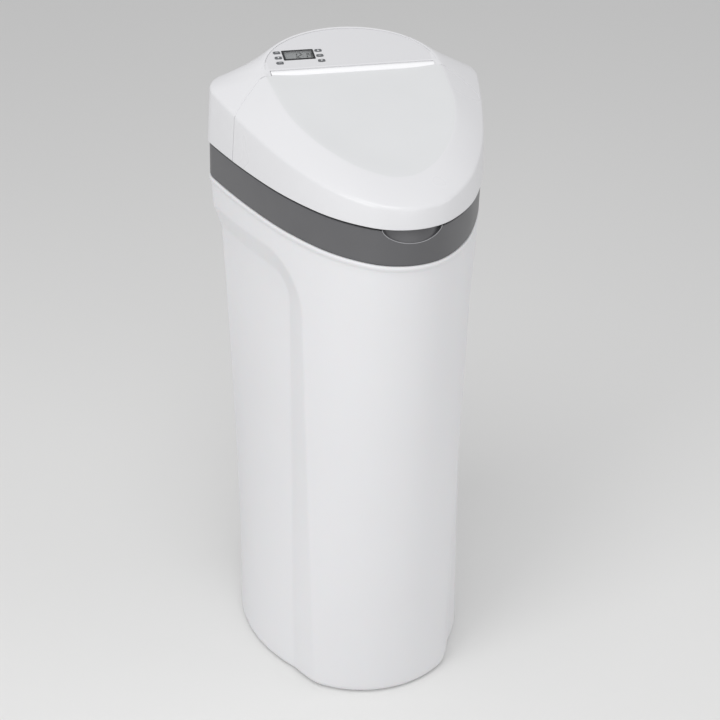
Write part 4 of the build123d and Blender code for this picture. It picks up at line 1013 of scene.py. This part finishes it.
@dataclass
class Console:
    """The fixed rear half of the hood, with the pocket for the facia and the ears of the hinge."""

    hood: Hood = field(default_factory=Hood)
    hinge: Hinge = field(default_factory=Hinge)
    wall: float = 5.0
    gap: float = 0.8
    middle: Pair = (0.0, 150.0)
    rim: float = 5.0
    sink: float = 1.2
    panel_t: float = 2.3
    front_v: float = 3.0
    pocket_over: float = 40.0
    pocket_steps: int = 72
    corner_steps: int = 6
    inner: float = 134.5
    void: Triple = (20.0, 991.0, 1100.0)
    ear_t: float = 7.0
    ear_low: Pair = (107.5, 991.0)
    ear_high: Pair = (140.0, 1060.0)
    ear_depth: float = 1.2
    ear_over: float = 5.0
    bay: tuple[float, float, float, float] = (-121.5, 44.0, 11.0, 48.5)
    bay_reach: float = 30.0
    window_half: float = 118.0
    window_low: Pair = (190.0, 850.0)
    window_high: Pair = (300.0, 927.0)
    power: Triple = (132.0, 905.0, 6.0)
    power_run: Pair = (190.0, 260.0)
    power_sides: int = 32

    def on_facia(self, u: float, v: float, up: float = 0.0) -> Vector:
        """A place over the facia's plane."""
        lean = radians(self.hood.facia_tilt)
        return Vector((u, self.hood.facia_y + v * cos(lean) - up * sin(lean),
                       self.hood.facia_z + v * sin(lean) + up * cos(lean)))

    def rounded(self, middle: Pair, size: Triple, up: float) -> Ring:
        """Outline of a rounded rectangle over the facia.

        Args:
            middle: its middle on the facia.
            size: its width, its height and the radius of its corners.
            up: how far over the facia it lies.

        Returns:
            The outline.
        """
        (u, v), (w, h, r) = middle, size
        points = []
        for a, b, start in ((1, 1, 0), (-1, 1, 90), (-1, -1, 180), (1, -1, 270)):
            for k in range(self.corner_steps + 1):
                turn = radians(start + 90 * k / self.corner_steps)
                x, y = a * (w / 2 - r) + r * cos(turn), b * (h / 2 - r) + r * sin(turn)
                points.append(self.on_facia(u + x, v + y, up))
        return points

    def lift(self, height: float) -> Vector:
        """The move that raises a place off the facia by a height."""
        return self.on_facia(0, 0, height) - self.on_facia(0, 0, 0.0)

    def pocket(self) -> Piece:
        """Prism of the D-shaped pocket."""
        a, b = self.hood.facia_half_w - self.rim, self.hood.facia_depth - self.rim
        start = asin(self.front_v / b)
        turns = [start + (pi - 2 * start) * i / self.pocket_steps for i in range(self.pocket_steps + 1)]
        outline = [self.on_facia(a * cos(t), b * sin(t), -self.sink - self.panel_t) for t in turns]
        return prism("pocket", outline, self.lift(self.pocket_over))

    def openings(self) -> list[Piece]:
        """The closed forms that are taken out of the console."""
        hood, hinge = self.hood, self.hinge
        left, right, low, high = self.bay
        corners = ((left, low), (right, low), (right, high), (left, high))
        bay = [self.on_facia(u, v, -self.bay_reach) for u, v in corners]
        x, z, r = self.power
        y0, y1 = self.power_run
        void_y, void_low, void_top = self.void
        return [
            hood.front_region(self.gap),
            box("front_void", (-self.inner, void_y, void_low), (self.inner, hood.facia_y, void_top)),
            self.pocket(),
            prism("bay", bay, self.lift(2 * self.bay_reach)),
            box("rear_window", (-self.window_half, *self.window_low), (self.window_half, *self.window_high)),
            rod("power_hole", Vector((x, y0, z)), Vector((x, y1, z)), r, self.power_sides),
            rod("barrel_room", hinge.at(-self.inner), hinge.at(self.inner), hinge.barrel_room),
        ]

    def ear(self, name: str, side: float, skin: Material) -> None:
        """Builds one ear of the hinge just inside the console's skin."""
        x0, x1 = sorted((side * self.inner, side * (self.inner + self.ear_t)))
        ear = box(name, (x0, *self.ear_low), (x1, *self.ear_high))
        form, _ = self.hood.rings(self.hood.facia_level, self.middle, 0.0, self.ear_depth)
        combine(ear, ring_skin("ear_form", form), Cut.KEEP_COMMON)
        pin = rod("pin_room", self.hinge.at(x0 - self.ear_over), self.hinge.at(x1 + self.ear_over),
                  self.hinge.pin_r, self.hinge.pin_sides)
        combine(ear, pin, Cut.TAKE_AWAY)
        dress(smooth(ear), [skin], Body.CABINET)

    def build(self, skin: Material) -> None:
        """Builds the console and its ears and dresses them."""
        console, _ = self.hood.shell("console", self.hood.facia_level, self.middle, 0.0, self.wall)
        for opening in self.openings():
            combine(console, opening, Cut.TAKE_AWAY)
        dress(smooth(console), [skin], Body.CABINET, ["top_cover"])
        self.ear("hinge_ear_left", -1.0, skin)
        self.ear("hinge_ear_right", 1.0, skin)


class Icon(Enum):
    """Plain signs on the keys."""

    UP = "up"
    DOWN = "down"
    BAR = "bar"
    DOT = "dot"


SIGNS = {
    Icon.UP: [(-2.0, -1.4), (2.0, -1.4), (0.0, 1.7)],
    Icon.DOWN: [(-2.0, 1.4), (0.0, -1.7), (2.0, 1.4)],
    Icon.BAR: [(-2.2, -0.3), (2.2, -0.3), (2.2, 0.3), (-2.2, 0.3)],
    Icon.DOT: [(1.3 * cos(pi * k / 6), 1.3 * sin(pi * k / 6)) for k in range(12)],
}
ROW_SIGNS = {("right", 0): Icon.DOWN, ("right", 2): Icon.UP, ("left", 1): Icon.DOT}


@dataclass
class Keys:
    """Six keys of the control panel with their signs."""

    console: Console = field(default_factory=Console)
    left_u: float = -113.7
    right_u: float = -45.9
    first_v: float = 17.4
    pitch: float = 12.8
    w: float = 11.5
    h: float = 6.0
    round_r: float = 2.0
    proud: float = 1.0
    flange: float = 0.8
    flange_t: float = 1.0
    seat_gap: float = 0.3
    stem_r: float = 1.8
    stem_round: float = 0.99
    stem_l: float = 7.0
    cap: tuple[tuple[float, float, float, float], ...] = (
        (0.0, 0.0, 0.0, 0.5), (0.3, 0.3, 0.1, 0.2), (1.0, 1.0, 0.4, 0.0), (4.0, 3.6, 1.2, 0.15))
    sign_t: float = 0.1

    def key_rings(self, u: float, v: float) -> list[Ring]:
        """Rings of one key: stem, flange, side, then the softened cap and its shallow dish.

        Each row of the cap says how much narrower, shorter, sharper and lower it is than the whole key.
        """
        under = -self.console.sink - self.console.panel_t - self.seat_gap
        top = -self.console.sink + self.proud
        stem = (self.stem_r * 2, self.stem_r * 2, self.stem_r * self.stem_round)
        foot = (self.w + 2 * self.flange, self.h + 2 * self.flange, self.round_r)
        body = (self.w, self.h, self.round_r)
        steps = [(stem, under - self.flange_t - self.stem_l), (stem, under - self.flange_t),
                 (foot, under - self.flange_t), (foot, under), (body, under)]
        steps += [((self.w - a, self.h - b, self.round_r - r), top - drop) for a, b, r, drop in self.cap]
        return [self.console.rounded((u, v), size, level) for size, level in steps]

    def key(self, name: str, u: float, v: float, icon: Icon, skin: Material, sign: Material) -> None:
        """Builds one key and the sign on it."""
        key = ring_skin(f"{name}_cap", self.key_rings(u, v))
        dress(smooth(key), [skin], f"{name}_key", [name])
        level = -self.console.sink + self.proud - 2 * self.sign_t
        outline = [self.console.on_facia(u + a, v + b, level) for a, b in SIGNS[icon]]
        mark = prism(f"{name}_sign", outline, self.console.lift(self.sign_t))
        dress(mark, [sign], f"{name}_key")

    def build(self, skin: Material, sign: Material) -> None:
        """Builds the six keys."""
        for side, u in (("left", self.left_u), ("right", self.right_u)):
            for row, place in enumerate(("front", "middle", "rear")):
                self.key(f"button_{side}_{place}", u, self.first_v + row * self.pitch,
                         ROW_SIGNS.get((side, row), Icon.BAR), skin, sign)


@dataclass
class Display:
    """The figures of the display and the dark print round it, which also paints the shade of the display's
    recess.
    """

    console: Console = field(default_factory=Console)
    middle: Pair = (-79.8, 35.5)
    pane: Pair = (51.4, 24.4)
    print_w: float = 3.2
    print_t: float = 0.05
    print_up: float = 0.01
    print_rounds: Pair = (1.8, 1.2)
    reading: str = "1214"
    figure_w: float = 4.6
    figure_h: float = 12.5
    figure_t: float = 0.1
    figure_lean: float = 0.10
    figure_pitch: float = 7.2
    figure_up: float = 0.02
    stroke: float = 1.8
    stroke_gap: float = 0.2
    start: Pair = (-10.5, -6.0)
    colon_u: float = 13.2
    colon_w: float = 2.0
    colon_gap: float = 2.6
    colon_t: float = 1.4
    colon_rises: Pair = (3.4, 8.6)
    weld: float = 0.005

    def segments(self) -> dict[str, tuple[Pair, Pair]]:
        """The two ends of each of the seven strokes of a figure."""
        w, h = self.figure_w, self.figure_h
        return {"a": ((0, h), (w, h)), "b": ((w, h / 2), (w, h)), "c": ((w, 0), (w, h / 2)),
                "d": ((0, 0), (w, 0)), "e": ((0, 0), (0, h / 2)), "f": ((0, h / 2), (0, h)),
                "g": ((0, h / 2), (w, h / 2))}

    def bar(self, a: Pair, b: Pair, thick: float) -> Piece:
        """One stroke with pointed ends between two places."""
        up = -self.console.sink - self.console.panel_t + self.figure_up
        p, q = Vector((*a, 0)), Vector((*b, 0))
        along_bar = (q - p).normalized()
        n = Vector((-along_bar.y, along_bar.x, 0)) * (thick / 2)
        gap, tip = along_bar * (thick * self.stroke_gap), along_bar * (thick / 2)
        p, q = p + gap, q - gap
        points = [p, p + tip + n, q - tip + n, q, q - tip - n, p + tip - n]
        outline = [self.console.on_facia(s.x + s.y * self.figure_lean, s.y, up) for s in points]
        return prism("figure", outline, self.console.lift(self.figure_t))

    def figures(self, ink: Material) -> None:
        """Builds the seven-segment figures and their colon as one piece."""
        strokes = {"1": "bc", "2": "abged", "4": "fgbc"}
        segments = self.segments()
        start, foot = self.middle[0] + self.start[0], self.middle[1] + self.start[1]
        parts = []
        for k, figure in enumerate(self.reading):
            left = start + k * self.figure_pitch + (self.colon_gap if k > 1 else 0.0)
            for name in strokes[figure]:
                (a, low), (b, high) = segments[name]
                parts.append(self.bar((left + a, foot + low), (left + b, foot + high), self.stroke))
        for rise in self.colon_rises:
            parts.append(self.bar((start + self.colon_u, foot + rise),
                                  (start + self.colon_u + self.colon_w, foot + rise), self.colon_t))
        settle()
        for part in parts:
            part.select_set(True)
        bpy.context.view_layer.objects.active = parts[0]
        bpy.ops.object.join()
        figures = bpy.context.object
        figures.name = "display_figures"
        dress(figures, [ink], Body.CABINET)

    def border(self, ink: Material) -> None:
        """Builds the dark print round the display, on the window; its dark ring also paints the shade in the
        display's recess.
        """
        level = -self.console.sink + self.print_up
        w, h = self.pane
        inset = 2 * self.print_w
        outer = self.console.rounded(self.middle, (w, h, self.print_rounds[0]), level)
        inner = self.console.rounded(self.middle, (w - inset, h - inset, self.print_rounds[1]), level)
        lift = self.console.lift(self.print_t)
        rings = [outer, [p + lift for p in outer], [p + lift for p in inner], inner, outer]
        border = ring_skin("display_border", rings, self.weld)
        dress(border, [ink], Body.CABINET)

    def build(self, ink: Material) -> None:
        """Builds the figures and the print round them."""
        self.figures(ink)
        self.border(ink)


# Stage


@dataclass(frozen=True)
class SoftBox:
    """One soft box that looks at the cabinet: its place and edge in metres and its power in watts."""

    name: str
    place: Triple
    edge: float
    power: float

    def hang(self, target: Vector) -> None:
        """Adds the lamp, turned to a target."""
        data = bpy.data.lights.new(self.name, "AREA")
        data.shape, data.size, data.energy = "SQUARE", self.edge, self.power
        lamp = bpy.data.objects.new(self.name, data)
        bpy.context.scene.collection.objects.link(lamp)
        lamp.location = self.place
        lamp.rotation_euler = (target - Vector(self.place)).to_track_quat("-Z", "Y").to_euler()


@dataclass
class Stage:
    """Floor, soft studio light and the photograph's camera."""

    place: Triple = (-682.0, -2213.6, 1879.4)
    right: Triple = (0.96121, -0.27380, 0.03324)
    up: Triple = (0.10937, 0.48902, 0.86539)
    ahead: Triple = (0.25320, 0.82818, -0.50000)
    lens: float = 80.0
    sensor: float = 36.0
    clip: Pair = (0.1, 50.0)
    lit: Triple = (0.0, 0.0, 0.6)
    lamps: tuple[SoftBox, ...] = (
        SoftBox("key", (-3.0, -1.9, 1.9), 2.0, 38.0), SoftBox("front", (0.2, -3.4, 1.5), 2.0, 11.0),
        SoftBox("fill", (2.8, -1.2, 1.4), 1.8, 13.0), SoftBox("top", (-0.6, -0.9, 3.2), 1.6, 24.0))
    sky: str = "#F6F6F7"
    sky_strength: float = 0.64
    floor_skin: Finish = Finish("pale_studio_floor", "#E6E6E5", "#E6E6E5", 0.8)
    floor_edge: float = 14.0
    floor_place: Triple = (0.0, 2.0, -0.0006)

    def floor(self) -> None:
        """Makes a plain pale floor."""
        settle()
        bpy.ops.mesh.primitive_plane_add(size=self.floor_edge, location=self.floor_place)
        floor = bpy.context.object
        floor.name = "floor"
        floor.data.materials.append(self.floor_skin.material())

    def world(self) -> None:
        """Makes the even light all round."""
        world = bpy.data.worlds.new("studio")
        bpy.context.scene.world = world
        world.use_nodes = True
        background = world.node_tree.nodes["Background"]
        background.inputs["Color"].default_value = linear(self.sky)
        background.inputs["Strength"].default_value = self.sky_strength

    def camera(self) -> None:
        """Sets the camera where the photograph was taken from."""
        data = bpy.data.cameras.new("photograph")
        data.lens, data.sensor_width = self.lens, self.sensor
        data.clip_start, data.clip_end = self.clip
        camera = bpy.data.objects.new("photograph", data)
        bpy.context.scene.collection.objects.link(camera)
        r, u, f = (Vector(v).normalized() for v in (self.right, self.up, self.ahead))
        turn = Matrix(((r.x, u.x, -f.x), (r.y, u.y, -f.y), (r.z, u.z, -f.z)))
        camera.matrix_world = Matrix.Translation(Vector(self.place) * MM) @ turn.to_4x4()
        bpy.context.scene.camera = camera

    def build(self) -> None:
        """Makes the floor, the lights, the world and the camera."""
        self.floor()
        for lamp in self.lamps:
            lamp.hang(Vector(self.lit))
        self.world()
        self.camera()
        bpy.context.scene.view_settings.view_transform = "Standard"


def paint_nodes(materials: dict[str, Material]) -> None:
    """Gives every CAD node that stays the finish of its slot."""
    for entry in frame["record"]["subparts"]:
        node = frame["nodes"][entry["node"]]
        node.data.materials.clear()
        node.data.materials.append(materials[entry["material_slot"]])


def main() -> None:
    """Builds the object's looks round the frame, then the stage."""
    logging.basicConfig(level=logging.INFO, format="%(message)s")
    materials = {slot: finish.material() for slot, finish in FINISHES.items()}
    scoop, ink, sign = SCOOP_SKIN.material(), DISPLAY_INK.material(), KEY_PRINT.material()
    # the barrel's lighter white and the finger pull's light grey bead are painted highlights
    polish_and_highlight, edge = BARREL_SKIN.material(), PULL_HIGHLIGHT_SKIN.material()
    paint_nodes(materials)
    SaltTank().build(materials["tank_white"])
    RimBand().build(materials["band_grey"], edge)
    SaltLid().build(materials["hood_white"], scoop, polish_and_highlight)
    Console().build(materials["hood_white"])
    Keys().build(materials["button_grey"], sign)
    Display().build(ink)
    Stage().build()


if __name__ == "__main__":
    main()
